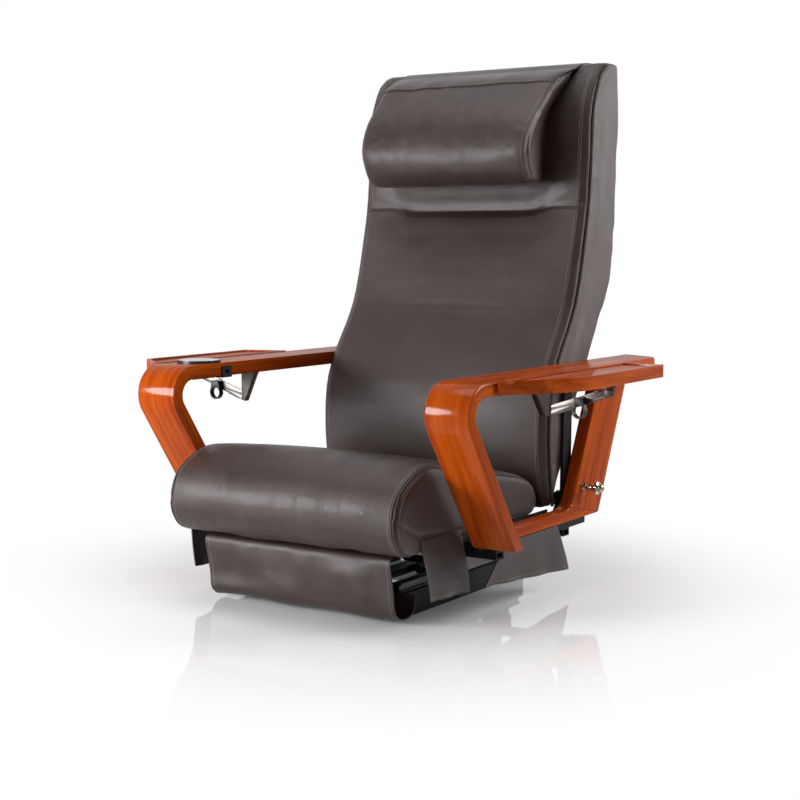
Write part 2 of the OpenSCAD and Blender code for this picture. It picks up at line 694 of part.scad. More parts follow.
// Side and rear cover: a padded shell, open to the front behind the pad's rim
frame_inset = 45;
frame_half = back_half - frame_inset;
frame_bar = 22;
lug_d = 20;
lug_row_shares = [0.176, 0.235];
lug_rows = [for (share = lug_row_shares) back_row(share)];
board_ply = 10;
frame_d = pad_t + gap + bag_t + gap + board_ply + gap;
cavity_foot_share = 0.088;
cavity_j0 = back_row(cavity_foot_share);
foot_gap = 3;
function lug_place(j) = back_front[j] + (frame_d + frame_bar / 2) * back_dir(j);
module back_cover() color("#59504d") {
    last = back_rows - 1;
    difference() {
        two_sheet(
            [for (u = back_u) [for (j = [0 : last])
                back_point(u * back_half, j, pad_back(u, j) + (j < cavity_j0 ? foot_gap : gap))]],
            [for (u = back_u) [for (j = [0 : last])
                back_point(u * back_half, j,
                    back_depth(j) - min(edge_fall(u * back_half, back_half, back_rear_r),
                                        back_depth(j) / 3))]]);
        side_plate(concat(behind(cavity_j0, last - 1, -over),
                          reverse(before_rear(cavity_j0, last - 2, cover_t))),
                   cover_t - back_half, back_half - cover_t);
        for (j = lug_rows)
            rod_x(-back_half - over, back_half + over, lug_place(j)[0], lug_place(j)[1],
                  lug_d + 2 * gap, $fn = 24);
    }
}

// Back frame: two bent side members, cross tubes, and lugs that reach out to the yoke
frame_foot_share = 0.147;
frame_top_share = 0.912;
frame_j0 = back_row(frame_foot_share);
frame_j1 = back_row(frame_top_share);
cross_row_shares = [0.206, 0.412, 0.618, 0.853];
frame_plate_t = 4;
module back_frame() color("#2a2a2e") {
    for (s = [-1, 1]) on_side(s) {
        side_plate(concat(behind(frame_j0, frame_j1, frame_d),
                          reverse(behind(frame_j0, frame_j1, frame_d + frame_bar))),
                   frame_half - frame_plate_t, frame_half);
        for (j = lug_rows)
            rod_x(frame_half - over, yoke_x, lug_place(j)[0], lug_place(j)[1], lug_d);
    }
    for (share = cross_row_shares) let (j = back_row(share))
        rod_x(over - frame_half, frame_half - over, lug_place(j)[0], lug_place(j)[1],
              frame_bar - 2 * base_wall);
}
module back_board() color("#b98f5e") {
    d = frame_d - gap - board_ply;
    side_plate(concat(behind(frame_j0, frame_j1, d),
                      reverse(behind(frame_j0, frame_j1, d + board_ply))),
               -frame_half, frame_half);
}
// Back bags: two at the waist, one across the ribs and one across the shoulders
bag_row_shares = [[0.206, 0.324], [0.382, 0.500], [0.559, 0.647], [0.706, 0.824]];
bag_inset = 95;
bag_w = back_w - 2 * bag_inset;
module back_airbags() color("#44484c") {
    d = pad_t + gap;
    for (r = bag_row_shares) let (a = back_row(r[0]), b = back_row(r[1]))
        side_plate(concat(behind(a, b, d), reverse(behind(a, b, d + bag_t))),
                   -bag_w / 2, bag_w / 2);
}

// Recline yoke: torque tube on the pivot axis, an arm plate at each end and the push lever
arm_plate_w = 34;
boss_r = 18;
module recline_yoke() color("#202024") {
    tops = [for (j = lug_rows) lug_place(j)];
    tip = tops[1] + (tops[1] - tops[0]) / 2;
    difference() {
        union() {
            rod_x(-yoke_x - yoke_t, yoke_x + yoke_t, pivot_y, pivot_z, yoke_tube_d);
            for (s = [-1, 1]) on_side(s) {
                side_plate([[pivot_y - boss_r, pivot_z], [pivot_y + boss_r, pivot_z],
                            tip + [arm_plate_w / 2, 0], tip - [arm_plate_w / 2, 0]],
                           yoke_x, yoke_x + yoke_t);
                rod_x(yoke_x, yoke_x + yoke_t, pivot_y, pivot_z, 2 * boss_r);
                rod_x(yoke_x, yoke_x + yoke_t, tip[0], tip[1], arm_plate_w);
            }
            side_plate([[pivot_y - lever_w / 2, pivot_z], [pivot_y + lever_w / 2, pivot_z],
                        [lever_end_y + lever_w / 2, lever_end_z],
                        [lever_end_y - lever_w / 2, lever_end_z]],
                       recline_x - lever_t / 2, recline_x + lever_t / 2);
            rod_x(recline_x - lever_t / 2, recline_x + lever_t / 2, lever_end_y, lever_end_z,
                  lever_w);
        }
        rod_x(-yoke_x - yoke_t - over, yoke_x + yoke_t + over, pivot_y, pivot_z,
              yoke_bore_d);
    }
    rod_x(recline_x - rod_d, recline_x + rod_d, lever_end_y, lever_end_z, pin_d);
}
// Collars on the torque tube keep it between the hinge brackets
module pivot_collars() color("#b9bcc0") {
    for (s = [-1, 1]) on_side(s) difference() {
        rod_x(bracket_x - gap - collar_w, bracket_x - gap, pivot_y, pivot_z, collar_d);
        rod_x(bracket_x - 2 * collar_w, bracket_x, pivot_y, pivot_z, yoke_tube_d + 2 * fit);
    }
}
module hinge_brackets() color("#1f1f23") {
    y = carriage_rear_y - carriage_tube;
    for (s = [-1, 1]) on_side(s) difference() {
        union() {
            side_plate([[y, bar_z], [carriage_rear_y, bar_z], [pivot_y + boss_r, pivot_z - boss_r / 2],
                        [pivot_y + boss_r, pivot_z], [pivot_y - boss_r, pivot_z]],
                       bracket_x, bracket_x + bracket_t);
            rod_x(bracket_x, bracket_x + bracket_t, pivot_y, pivot_z, 2 * boss_r);
        }
        rod_x(bracket_x - over, bracket_x + bracket_t + over, pivot_y, pivot_z,
              yoke_tube_d + 2 * fit);
    }
}
// Recline actuator: its rod leaves to the rear and ends in a slotted fork round the lever
module recline_actuator() color("#3a3a3e") {
    translate([0, recline_tube_front_y + recline_tube_rear_y, 0]) mirror([0, 1, 0])
        actuator(recline_x, recline_tube_front_y, recline_tube_rear_y, lever_mid_z,
                 recline_tube_d);
}
fork_t = 4;
fork_gap = 4;
module recline_rod() color("#c9ccd0") {
    x = recline_x;
    y = lever_end_y;
    z = lever_mid_z;
    half = lever_t / 2 + gap + fork_t;
    block_y = y - lever_w / 2 - fork_gap;
    rod_y(x, recline_tube_front_y + gearbox_l + recline_stroke + 2 * over, block_y - rod_d, z,
          rod_d);
    difference() {
        box(x - half, x + half, block_y - rod_d, y + rod_d, z - rod_d, z + rod_d);
        box(x - lever_t / 2 - gap, x + lever_t / 2 + gap, block_y, y + rod_d + over,
            z - rod_d - over, z + rod_d + over);
        box(x - half - over, x + half + over, y - pin_d / 2 - 2 * gap, y + pin_d / 2 + 2 * gap,
            z - pin_d, z + pin_d);
    }
}

// Cloth: a sheet of leather between a grid of points and the same grid moved by its thickness
leather_t = 2.4;
module cloth(grid, offset) {
    two_sheet(grid, [for (row = grid) [for (p = row) p + offset]]);
}

// Front apron: hangs from under the seat board, down in front of the base, and curls back.
// Shares of its drop and reach; the first points lie flat under the seat.
apron_w = 426;
apron_drop = 135;
apron_reach = 88;
apron_path_shares = [
    [0.560, 1.000], [0.320, 1.000], [0.120, 0.985], [0.013, 0.930], [0.000, 0.840],
    [0.040, 0.650], [0.100, 0.480], [0.147, 0.300], [0.187, 0.155], [0.300, 0.045],
    [0.520, 0.000], [0.750, 0.020], [0.900, 0.090], [0.970, 0.200], [0.960, 0.330]];
apron_lead = 36;
apron_front_y = min(-base_l / 2 - apron_reach - over, pan_front_y - apron_lead);
apron_low_z = 8;
apron_wave = 3;
apron_wave_deg = 400;
apron_path = smooth([for (p = apron_path_shares)
    [apron_front_y + p[0] * apron_reach,
     apron_low_z + p[1] * (apron_drop - gap - leather_t - apron_low_z)]], 1);
apron_last = len(apron_path) - 1;
apron_fold_count = 4;
apron_normals = normals(apron_path);
// The folds fade out towards the top and towards the curled hem
function apron_fade(j) = max(0, min(1, (j - apron_fold_count) / apron_fold_count))
                         * min(1, (apron_last - j) / apron_fold_count);
function apron_point(u, j, d) =
    let (p = apron_path[j] + (d + apron_wave * sin(apron_wave_deg * u) * apron_fade(j)) * apron_normals[j])
    [u * apron_w / 2, p[0], p[1]];
module front_apron() color("#443c3a") {
    columns = [for (i = [-apron_fold_count : apron_fold_count]) i / apron_fold_count];
    two_sheet([for (u = columns) [for (j = [0 : apron_last]) apron_point(u, j, 0)]],
              [for (u = columns) [for (j = [0 : apron_last]) apron_point(u, j, -leather_t)]]);
}

// Side flaps: one in front of each armrest's leg, one behind it. Top and bottom edges are
// pairs of points, in shares of the flap's length and height; the folds swing across the chair.
flap_top_x = seat_w / 2 + gap + leather_t;
front_flap_y = -296;
front_flap_z = 46;
front_flap_l = 155;
front_flap_h = 118;
front_flap_shares = [[[0, 1], [0.871, 0.992]], [[0.142, 0.051], [1, 0]]];
rear_flap_y = -158;
rear_flap_z = 37;
rear_flap_l = 330;
rear_flap_h = rail_z - gap - rear_flap_z;
rear_flap_shares = [[[0.236, 1], [0.873, 1]], [[0, 0.267], [1, 0]]];
function flap_edges(shares, y, z, l, h) =
    [for (edge = shares) [for (p = edge) [y + p[0] * l, z + p[1] * h]]];
front_flap_edges = flap_edges(front_flap_shares, front_flap_y, front_flap_z, front_flap_l,
                              front_flap_h);
rear_flap_edges = flap_edges(rear_flap_shares, rear_flap_y, rear_flap_z, rear_flap_l, rear_flap_h);
flap_flare = 13;
rear_flap_flare = 8;
flap_fold = 3.5;
module side_flap(edges, x, flare, folds, rows) {
    columns = [for (i = [4 * folds : -1 : 0]) i / (4 * folds)];
    cloth([for (u = columns) [for (j = [0 : rows])
        let (v = j / rows,
             top = edges[0][0] + u * (edges[0][1] - edges[0][0]),
             low = edges[1][0] + u * (edges[1][1] - edges[1][0]),
             p = top + v * (low - top))
        [x + flare * sin(90 * v) - flap_fold * v * (1 + sin(360 * folds * u)), p[0], p[1]]]],
        [-leather_t, 0, 0]);
}
module front_flap_left() color("#463e3b") on_side(1)
    side_flap(front_flap_edges, flap_top_x, flap_flare, 2, 4);
module front_flap_right() color("#463e3b") on_side(-1)
    side_flap(front_flap_edges, flap_top_x, flap_flare, 2, 4);
// The rear flap hangs on the outside of the arm bar and is notched round the front cross tube
module rear_flap() difference() {
    side_flap(rear_flap_edges, bar_out_x + gap + leather_t, rear_flap_flare, 3, 4);
    box(arm_x, arm_out_x, carriage_front_y - gap, carriage_front_y + carriage_tube + gap,
        cross_z - gap, bar_z + gap);
}
module rear_flap_left() color("#463e3b") on_side(1) rear_flap();
module rear_flap_right() color("#463e3b") on_side(-1) rear_flap();

// Head pillow: rows pair a point of its bulged front with one on the backrest behind it.
// Front: shares of the pillow's depth and height, from its lower rear corner round to its top.
pillow_front_shares = [
    [0.447, 0.010], [0.220, 0.000], [0.073, 0.050], [0.000, 0.172], [0.000, 0.340],
    [0.053, 0.508], [0.133, 0.622], [0.287, 0.760], [0.433, 0.870], [0.620, 0.933],
    [0.820, 0.975], [0.990, 1.000]];
// Where it touches the backrest: shares of the backrest's rows
pillow_back_shares = [0.706, 0.7206, 0.735, 0.765, 0.794, 0.824, 0.853, 0.882, 0.912, 0.941,
    0.956, 0.971];
pillow_back_rows = [for (share = pillow_back_shares) round(2 * share * (back_rows - 1)) / 2];
// How far it stands before the backrest, hangs below its lowest row, rises above its highest
// and stays before that one
pillow_bulge = 97;
pillow_droop = 14;
pillow_rise = -2;
pillow_set = 5.7;
pillow_low = back_front[pillow_back_rows[0]] - [pillow_bulge, pillow_droop];
pillow_top = back_front[pillow_back_rows[len(pillow_back_rows) - 1]] + [-pillow_set, pillow_rise];
pillow_span = pillow_top - pillow_low;
pillow_end_r = 20;
pillow_fall_share = 0.9;
pillow_column_count = 14;
// A point depth d behind the front seam, at a whole or half row
function back_at(r, d) = let (j = floor(r), t = r - j)
    (back_front[j] + d * back_dir(j)) * (1 - t)
    + (t > 0 ? (back_front[j + 1] + d * back_dir(j + 1)) * t : [0, 0]);
// The same points with each step halved
function halved(p) = [for (i = [0 : len(p) - 2]) each [p[i], (p[i] + p[i + 1]) / 2],
                      p[len(p) - 1]];
pillow_front = smooth([for (p = pillow_front_shares)
    [pillow_low[0] + p[0] * pillow_span[0], pillow_low[1] + p[1] * pillow_span[1]]], 2);
pillow_back = halved([for (r = pillow_back_rows) back_at(r, -gap)]);
module head_pillow() color("#4c4340") {
    half = pillow_w / 2;
    columns = across(pillow_column_count);
    two_sheet(
        [for (u = columns) [for (j = [0 : len(pillow_front) - 1])
            let (t = pillow_back[j] - pillow_front[j],
                 p = pillow_front[j] + pillow_fall_share * min(1,
                     edge_fall(u * half, half, pillow_end_r) / norm(t)) * t)
            [u * half, p[0], p[1]]]],
        [for (u = columns) [for (p = pillow_back) [u * half, p[0], p[1]]]]);
}
// Pillow flap: the leather that holds the pillow, laid from its top seam over the top of the
// backrest and down its rear
flap_seam_share = 0.727;
flap_rear_shares = [0.971, 0.941, 0.912, 0.882, 0.824];
flap_lift = 3;
flap_front_w = 424;
flap_rear_w = 452;
// Unit normals of a path in the side view
function normals(path) = [for (j = [0 : len(path) - 1])
    let (t = path[min(j + 1, len(path) - 1)] - path[max(j - 1, 0)]) unit([-t[1], t[0]])];
pillow_normals = normals(pillow_front);
back_top = back_rows - 1;
flap_path = concat(
    [for (j = [round(flap_seam_share * (len(pillow_front) - 1)) : len(pillow_front) - 1])
        pillow_front[j] + gap * pillow_normals[j]],
    [back_front[back_top] + [0, 3 * gap],
     (back_front[back_top] + back_rear[back_top]) / 2 + [0, flap_lift],
     back_rear[back_top] + [gap, gap]],
    [for (share = flap_rear_shares) let (j = back_row(share)) back_rear[j] + gap * back_dir(j)]);
flap_normals = normals(flap_path);
flap_last = len(flap_path) - 1;
function flap_half(j) = (flap_front_w + (flap_rear_w - flap_front_w) * j / flap_last) / 2;
function flap_point(u, j, d) = let (p = flap_path[j] + d * flap_normals[j])
    [u * flap_half(j), p[0], p[1]];
module pillow_flap() color("#4c4340") {
    columns = [-1, -0.5, 0, 0.5, 1];
    two_sheet([for (u = columns) [for (j = [0 : flap_last]) flap_point(u, j, leather_t)]],
              [for (u = columns) [for (j = [0 : flap_last]) flap_point(u, j, 0)]]);
}

// Armrest: a plank bent round at the front and down into a sloped leg, its outer rear corner cut
// off in an arc
arm_corner_share = 0.65;
arm_corner_r_share = 0.333;
arm_corner_deg = 60;
module armrest_blank() {
    slope = [sin(leg_deg), -cos(leg_deg)];
    corner_r = arm_corner_r_share * arm_w;
    c = [arm_bend_y, arm_bend_z];
    drop = (c[1] - arm_bend_r * sin(leg_deg) - arm_foot_z) / cos(leg_deg);
    inner_drop = (c[1] - arm_inner_r * sin(leg_deg) - arm_foot_z) / cos(leg_deg);
    outer = arc(c, arm_bend_r, 90, 180 + leg_deg, 24);
    inner = arc(c, arm_inner_r, 180 + leg_deg, 90, 24);
    profile = concat([[arm_rear_y, arm_top_z]], outer,
                     [outer[24] + drop * slope, inner[0] + inner_drop * slope], inner,
                     [[arm_rear_y, arm_under_z]]);
    intersection() {
        side_plate(profile, arm_x, arm_out_x);
        translate([0, 0, arm_foot_z - over]) linear_extrude(arm_top_z - arm_foot_z + 2 * over)
            polygon(concat([[arm_x, arm_bend_y - 2 * arm_bend_r],
                            [arm_out_x, arm_bend_y - 2 * arm_bend_r]],
                           arc([arm_out_x - corner_r, arm_rear_y - arm_corner_share * arm_w],
                               corner_r, 0, arm_corner_deg, 8),
                           [[arm_x, arm_rear_y]]));
    }
}
charger_y = -190;
charger_d = 88;
charger_t = 5;
charger_stem_d = 30;
charger_box_w = 50;
charger_box_l = 90;
charger_box_t = 4;
usb_y = -161;
usb_w = 30;
usb_h = 21;
usb_depth = 20;
usb_proud = 3;
module armrest_left() color("#b2561f") armrest_blank();
module armrest_right() color("#b2561f") on_side(-1) difference() {
    armrest_blank();
    rod_z(arm_x + arm_w / 2, charger_y, arm_under_z - over, arm_top_z + over,
          charger_stem_d + 2 * gap);
    box(arm_x - over, arm_x + usb_depth, usb_y - usb_w / 2, usb_y + usb_w / 2,
        arm_under_z - over, arm_under_z - hinge_drop + usb_h);
}

// Side frame of an armrest: a rail and a leaning upright, mitred together at the lower rear
fillet_in_y = 148;
fillet_up_z = 178;
function leg_rear_y(z) = let (c = arm_bend_y - arm_inner_r * cos(leg_deg),
                              d = arm_bend_z - arm_inner_r * sin(leg_deg))
    c + (d - z) * tan(leg_deg);
function upright_rear(z) = upright_foot_y + (z - rail_z) * tan(upright_deg);
function fillet_curve(t) = let (a = [fillet_in_y, rail_top_z],
                                b = [upright_rear(rail_top_z) - upright_w, rail_top_z],
                                c = [upright_rear(fillet_up_z) - upright_w, fillet_up_z])
    (1 - t) * (1 - t) * a + 2 * t * (1 - t) * b + t * t * c;
module side_rail() {
    side_plate(concat([[leg_rear_y(rail_z), rail_z], [upright_foot_y, rail_z]],
                      [for (i = [4 : -1 : 0]) fillet_curve(i / 8)],
                      [[leg_rear_y(rail_top_z), rail_top_z]]),
               arm_x, board_out_x);
}
module arm_upright() {
    side_plate(concat([[upright_foot_y, rail_z], [upright_rear(arm_under_z), arm_under_z],
                       [upright_rear(arm_under_z) - upright_w, arm_under_z]],
                      [for (i = [8 : -1 : 4]) fillet_curve(i / 8)]),
               arm_x, board_out_x);
}
module side_rail_left() color("#a84e1b") on_side(1) side_rail();
module side_rail_right() color("#a84e1b") on_side(-1) side_rail();
module arm_upright_left() color("#ad5420") on_side(1) arm_upright();
module arm_upright_right() color("#ad5420") on_side(-1) arm_upright();

// Purse hook: a turned bobbin on the outside of each upright
hook_y = 237;
hook_z = 194;
hook_outline_shares = [
    [0.00, 0.78], [0.06, 0.80], [0.14, 0.62], [0.26, 0.46], [0.44, 0.37], [0.60, 0.46],
    [0.70, 0.66], [0.76, 0.92], [0.84, 1.00], [0.93, 0.86], [1.00, 0.30]];
hook_d = 27;
module purse_hook() {
    translate([board_out_x, hook_y, hook_z]) rotate([0, 90, 0]) rotate_extrude()
        polygon(concat([[0, 0]],
                       [for (p = smooth(hook_outline_shares, 2)) [p[1] * hook_d / 2, p[0] * hook_l]],
                       [[0, hook_l]]));
}
module purse_hook_left() color("#c8c3b4") on_side(1) purse_hook();
module purse_hook_right() color("#c8c3b4") on_side(-1) purse_hook();

// Steel bars on the cross tubes, under the side rails, and the screws up through them
module arm_bars() color("#1f1f22") {
    for (s = [-1, 1]) on_side(s)
        tube_along_y(arm_x, bar_out_x, bar_front_y, bar_rear_y, bar_z, rail_z, carriage_wall);
}
screw_head_d = 12;
screw_head_t = 4;
screw_front_y = -50;
screw_mid_y = 25;
screw_rear_y = 100;
module arm_screws() color("#9b9da1") {
    for (s = [-1, 1]) on_side(s) for (y = [screw_front_y, screw_mid_y, screw_rear_y])
        rod_z((arm_x + bar_out_x) / 2, y, bar_z - screw_head_t, bar_z, screw_head_d);
}

// Charger pad on the sitter's right armrest, with its stem and the slim case below the plank
module charger_pad() color("#cfd0d2") on_side(-1) {
    x = arm_x + arm_w / 2;
    rod_z(x, charger_y, arm_top_z, arm_top_z + charger_t, charger_d);
    rod_z(x, charger_y, arm_under_z - charger_box_t, arm_top_z + over, charger_stem_d);
    box(x - charger_box_w / 2, x + charger_box_w / 2, charger_y - charger_box_l / 2,
        charger_y + charger_box_l / 2, arm_under_z - charger_box_t, arm_under_z);
}
module usb_socket() color("#18181a") on_side(-1) {
    z = arm_under_z - hinge_drop;
    difference() {
        box(arm_x - usb_proud, arm_x + usb_depth - gap, usb_y - usb_w / 2 + gap,
            usb_y + usb_w / 2 - gap, z - hinge_drop, z + usb_h - gap);
        box(arm_x - usb_proud - over, arm_x + usb_proud, usb_y - usb_w / 6, usb_y + usb_w / 6,
            z + usb_h / 2 - usb_h / 6, z + usb_h / 2 + usb_h / 6);
    }
}

// Tray: straight outer edge, front end swept back in an arc to the arm side, hollow top
tray_arc_share = 0.375;
tray_sweep_share = 0.3;
function tray_outline(inset, s) =
    let (l = tray_l - 2 * inset, w = tray_w - 2 * inset, y1 = tray_rear(s) - inset,
         a = tray_arc_share * l, x0 = tray_x + inset)
    concat([[x0, y1], [x0 + w, y1]],
           [for (i = [0 : 18]) let (t = 5 * i)
               [x0 + w * pow(max(0, cos(t)), 2 + tray_sweep_share), y1 - l + a * (1 - sin(t))]]);
module tray(s) {
    difference() {
        translate([0, 0, tray_z]) linear_extrude(tray_t) polygon(tray_outline(0, s));
        translate([0, 0, tray_z + tray_t - tray_hollow]) linear_extrude(tray_t)
            polygon(tray_outline(tray_rim, s));
    }
}
module tray_left() color("#bf6426") on_side(1) tray(1);
module tray_right() color("#bf6426") on_side(-1) tray(-1);

// Hinges along a tray's inner edge: the fixed leaves carry the pins and every other knuckle
knuckle_l = leaf_l / knuckle_count;
module knuckle(y, i, d, l) {
    rod_y(hinge_x, y - leaf_l / 2 + i * knuckle_l + (knuckle_l - l) / 2,
          y - leaf_l / 2 + i * knuckle_l + (knuckle_l + l) / 2, hinge_z, d);
}
module knuckle_web(y, i, x0, x1, z0, z1) {
    y0 = y - leaf_l / 2 + i * knuckle_l;
    box(x0, x1, y0 + gap / 2, y0 + knuckle_l - gap / 2, z0, z1);
}
module tray_hinge(s) {
    leaf_x = hinge_x - hinge_r - gap;
    for (t = [-1, 1]) {
        y = tray_mid(s) + t * (tray_l / 2 - hinge_end_inset);
        box(leaf_x - leaf_fixed_w, leaf_x, y - leaf_l / 2, y + leaf_l / 2,
            arm_under_z - leaf_t, arm_under_z);
        for (i = [0 : 2 : knuckle_count - 1]) {
            knuckle(y, i, 2 * hinge_r, knuckle_l - gap);
            knuckle_web(y, i, leaf_x - over, hinge_x, arm_under_z - leaf_t, arm_under_z);
        }
        rod_y(hinge_x, y - leaf_l / 2, y + leaf_l / 2, hinge_z, hinge_pin_d);
    }
}
module tray_hinge_left() color("#a9a79f") on_side(1) tray_hinge(1);
module tray_hinge_right() color("#a9a79f") on_side(-1) tray_hinge(-1);

// Moving leaves under the tray, and the lug that the upper link turns on
layer = link_t + gap;
lug_foot_w = 30;
module tray_leaf(s) {
    leaf_x = hinge_x + hinge_r + gap;
    for (t = [-1, 1]) {
        y = tray_mid(s) + t * (tray_l / 2 - hinge_end_inset);
        box(leaf_x, leaf_x + leaf_w, y - leaf_l / 2, y + leaf_l / 2, tray_z - leaf_t, tray_z);
        difference() {
            union() for (i = [1 : 2 : knuckle_count - 2]) {
                knuckle(y, i, 2 * hinge_r, knuckle_l - gap);
                knuckle_web(y, i, hinge_x, leaf_x + over, tray_z - leaf_t, tray_z);
            }
            rod_y(hinge_x, y - leaf_l / 2, y + leaf_l / 2, hinge_z, hinge_pin_d + 2 * fit);
        }
    }
    y = brace_y(s) + 3 * layer;
    front_plate([[brace_out_x - lug_foot_w / 2, tray_z], [brace_out_x + lug_foot_w / 2, tray_z],
                 [brace_out_x + link_w / 2, brace_out_z - link_w / 3],
                 [brace_out_x - link_w / 2, brace_out_z - link_w / 3]], y, y + link_t);
    box(brace_out_x - lug_foot_w / 2, brace_out_x + lug_foot_w / 2, y, y + lug_foot_w / 2,
        tray_z - leaf_t, tray_z);
    rod_y(brace_out_x, brace_y(s) + 2 * layer - rivet_head_t, y, brace_out_z, rivet_d - 2 * fit);
    rod_y(brace_out_x, brace_y(s) + 2 * layer - rivet_head_t - gap, brace_y(s) + 2 * layer - gap,
          brace_out_z, rivet_head);
}
module tray_leaf_left() color("#b0aea6") on_side(1) tray_leaf(1);
module tray_leaf_right() color("#b0aea6") on_side(-1) tray_leaf(-1);

// Gusset under the armrest, with a flange below the plank and the lower link's rivet
gusset_w = 45;
gusset_foot_w = 17;
gusset_over = 8;
gusset_flange = 22;
gusset_lip = 6;
module brace_gusset(s) {
    x1 = brace_in_x + gusset_lip;
    y = brace_y(s);
    front_plate([[x1 - gusset_w, arm_under_z], [x1, arm_under_z], [x1, brace_in_z - gusset_over],
                 [x1 - gusset_foot_w, brace_in_z - gusset_over]], y, y + link_t);
    box(x1 - gusset_w, x1, y - gusset_flange + link_t, y + link_t, arm_under_z - leaf_t,
        arm_under_z);
    // Flange along the sloped edge
    front_plate([[x1 - gusset_w, arm_under_z], [x1 - gusset_w + leaf_t, arm_under_z],
                 [x1 - gusset_foot_w + leaf_t, brace_in_z - gusset_over],
                 [x1 - gusset_foot_w, brace_in_z - gusset_over]],
                y - gusset_flange / 2, y + link_t);
    rod_y(brace_in_x, y, y + 2 * layer, brace_in_z, rivet_d - 2 * fit);
    rod_y(brace_in_x, y + 2 * layer, y + 2 * layer + rivet_head_t, brace_in_z, rivet_head);
}
module brace_gusset_left() color("#9c9992") on_side(1) brace_gusset(1);
module brace_gusset_right() color("#9c9992") on_side(-1) brace_gusset(-1);

// Folding brace. Both links are flanged strips; the elbow is the pivot where the loop is open.
link_angle = atan2(brace_out_z - brace_in_z, brace_out_x - brace_in_x);
link_l = norm([brace_out_x - brace_in_x, brace_out_z - brace_in_z]);
lower_l = elbow_share * link_l;
upper_l = link_l - lower_l;
flange_end = 31;
module strip(l, flange_from, flange_to, flange_y, flange_z) {
    front_plate([[0, -link_w / 2], [l, -link_w / 2], [l, link_w / 2], [0, link_w / 2]],
                0, link_t);
    for (x = [0, l]) rod_y(x, 0, link_t, 0, link_w);
    box(flange_from, flange_to, min(0, flange_y), max(link_t, flange_y),
        flange_z * link_w / 2 - link_t / 2, flange_z * link_w / 2 + link_t / 2);
}
module lower_link(s) {
    translate([brace_in_x, brace_y(s) + layer, brace_in_z]) rotate([0, -link_angle, 0])
        difference() {
            strip(lower_l, rivet_head, lower_l - flange_end, link_flange, -1);
            rod_y(0, -over, link_t + over, 0, rivet_d);
        }
}
module upper_link(s) {
    translate([elbow_x, brace_y(s) + 2 * layer, elbow_z]) rotate([0, -link_angle, 0]) {
        difference() {
            strip(upper_l, flange_end, upper_l - rivet_head, -link_flange / 2, 1);
            rod_y(upper_l, -over, link_t + over, 0, rivet_d);
        }
        rod_y(0, link_t, link_t + rivet_head_t, 0, rivet_head);
    }
}
module lower_link_left() color("#8f8c86") on_side(1) lower_link(1);
module lower_link_right() color("#8f8c86") on_side(-1) lower_link(-1);
module upper_link_left() color("#8f8c86") on_side(1) upper_link(1);
module upper_link_right() color("#8f8c86") on_side(-1) upper_link(-1);

// Release loop: a strap loop on the elbow that a finger pulls down
module release_loop(s) {
    ring = loop_w / 2;
    z = elbow_z - loop_h + ring + link_w / 2;
    y1 = brace_y(s) + layer - gap / 3;
    translate([0, y1, 0]) rotate([90, 0, 0]) linear_extrude(strap_w) difference() {
        union() {
            translate([elbow_x, z]) circle(r = ring);
            polygon([[elbow_x - ring, z], [elbow_x + ring, z],
                     [elbow_x + link_w / 2, elbow_z + link_w / 3],
                     [elbow_x - link_w / 2, elbow_z + link_w / 3]]);
        }
        translate([elbow_x, z]) circle(r = ring - strap_t);
        polygon([[elbow_x - ring + strap_t, z], [elbow_x + ring - strap_t, z],
                 [elbow_x + link_w / 3, elbow_z - link_w / 2],
                 [elbow_x - link_w / 3, elbow_z - link_w / 2]]);
    }
}
module release_loop_left() color("#161617") on_side(1) release_loop(1);
module release_loop_right() color("#161617") on_side(-1) release_loop(-1);

base_frame();
slide_rails();
slide_actuator();
slide_rod();
slide_runners();
carriage_frame();
equipment_cradle();
air_pump();
valve_block();
control_box();
air_hoses();
seat_bearers();
seat_pan();
seat_airbags();
seat_cushion();
front_apron();
front_flap_left();
front_flap_right();
rear_flap_left();
rear_flap_right();
arm_bars();
armrest_left();
armrest_right();
side_rail_left();
side_rail_right();
arm_upright_left();
arm_upright_right();
purse_hook_left();
purse_hook_right();
arm_screws();
hinge_brackets();
pivot_collars();
recline_actuator();
recline_rod();
recline_yoke();
back_frame();
back_board();
back_airbags();
back_cushion();
back_cover();
head_pillow();
pillow_flap();
charger_pad();
usb_socket();
tray_left();
tray_right();
tray_hinge_left();
tray_hinge_right();
tray_leaf_left();
tray_leaf_right();
brace_gusset_left();
brace_gusset_right();
lower_link_left();
lower_link_right();
upper_link_left();
upper_link_right();
release_loop_left();
release_loop_right();
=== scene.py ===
import json
import math

import bmesh
import bpy
import numpy as np
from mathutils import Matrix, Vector, noise
from mathutils.bvhtree import BVHTree
from mathutils.kdtree import KDTree


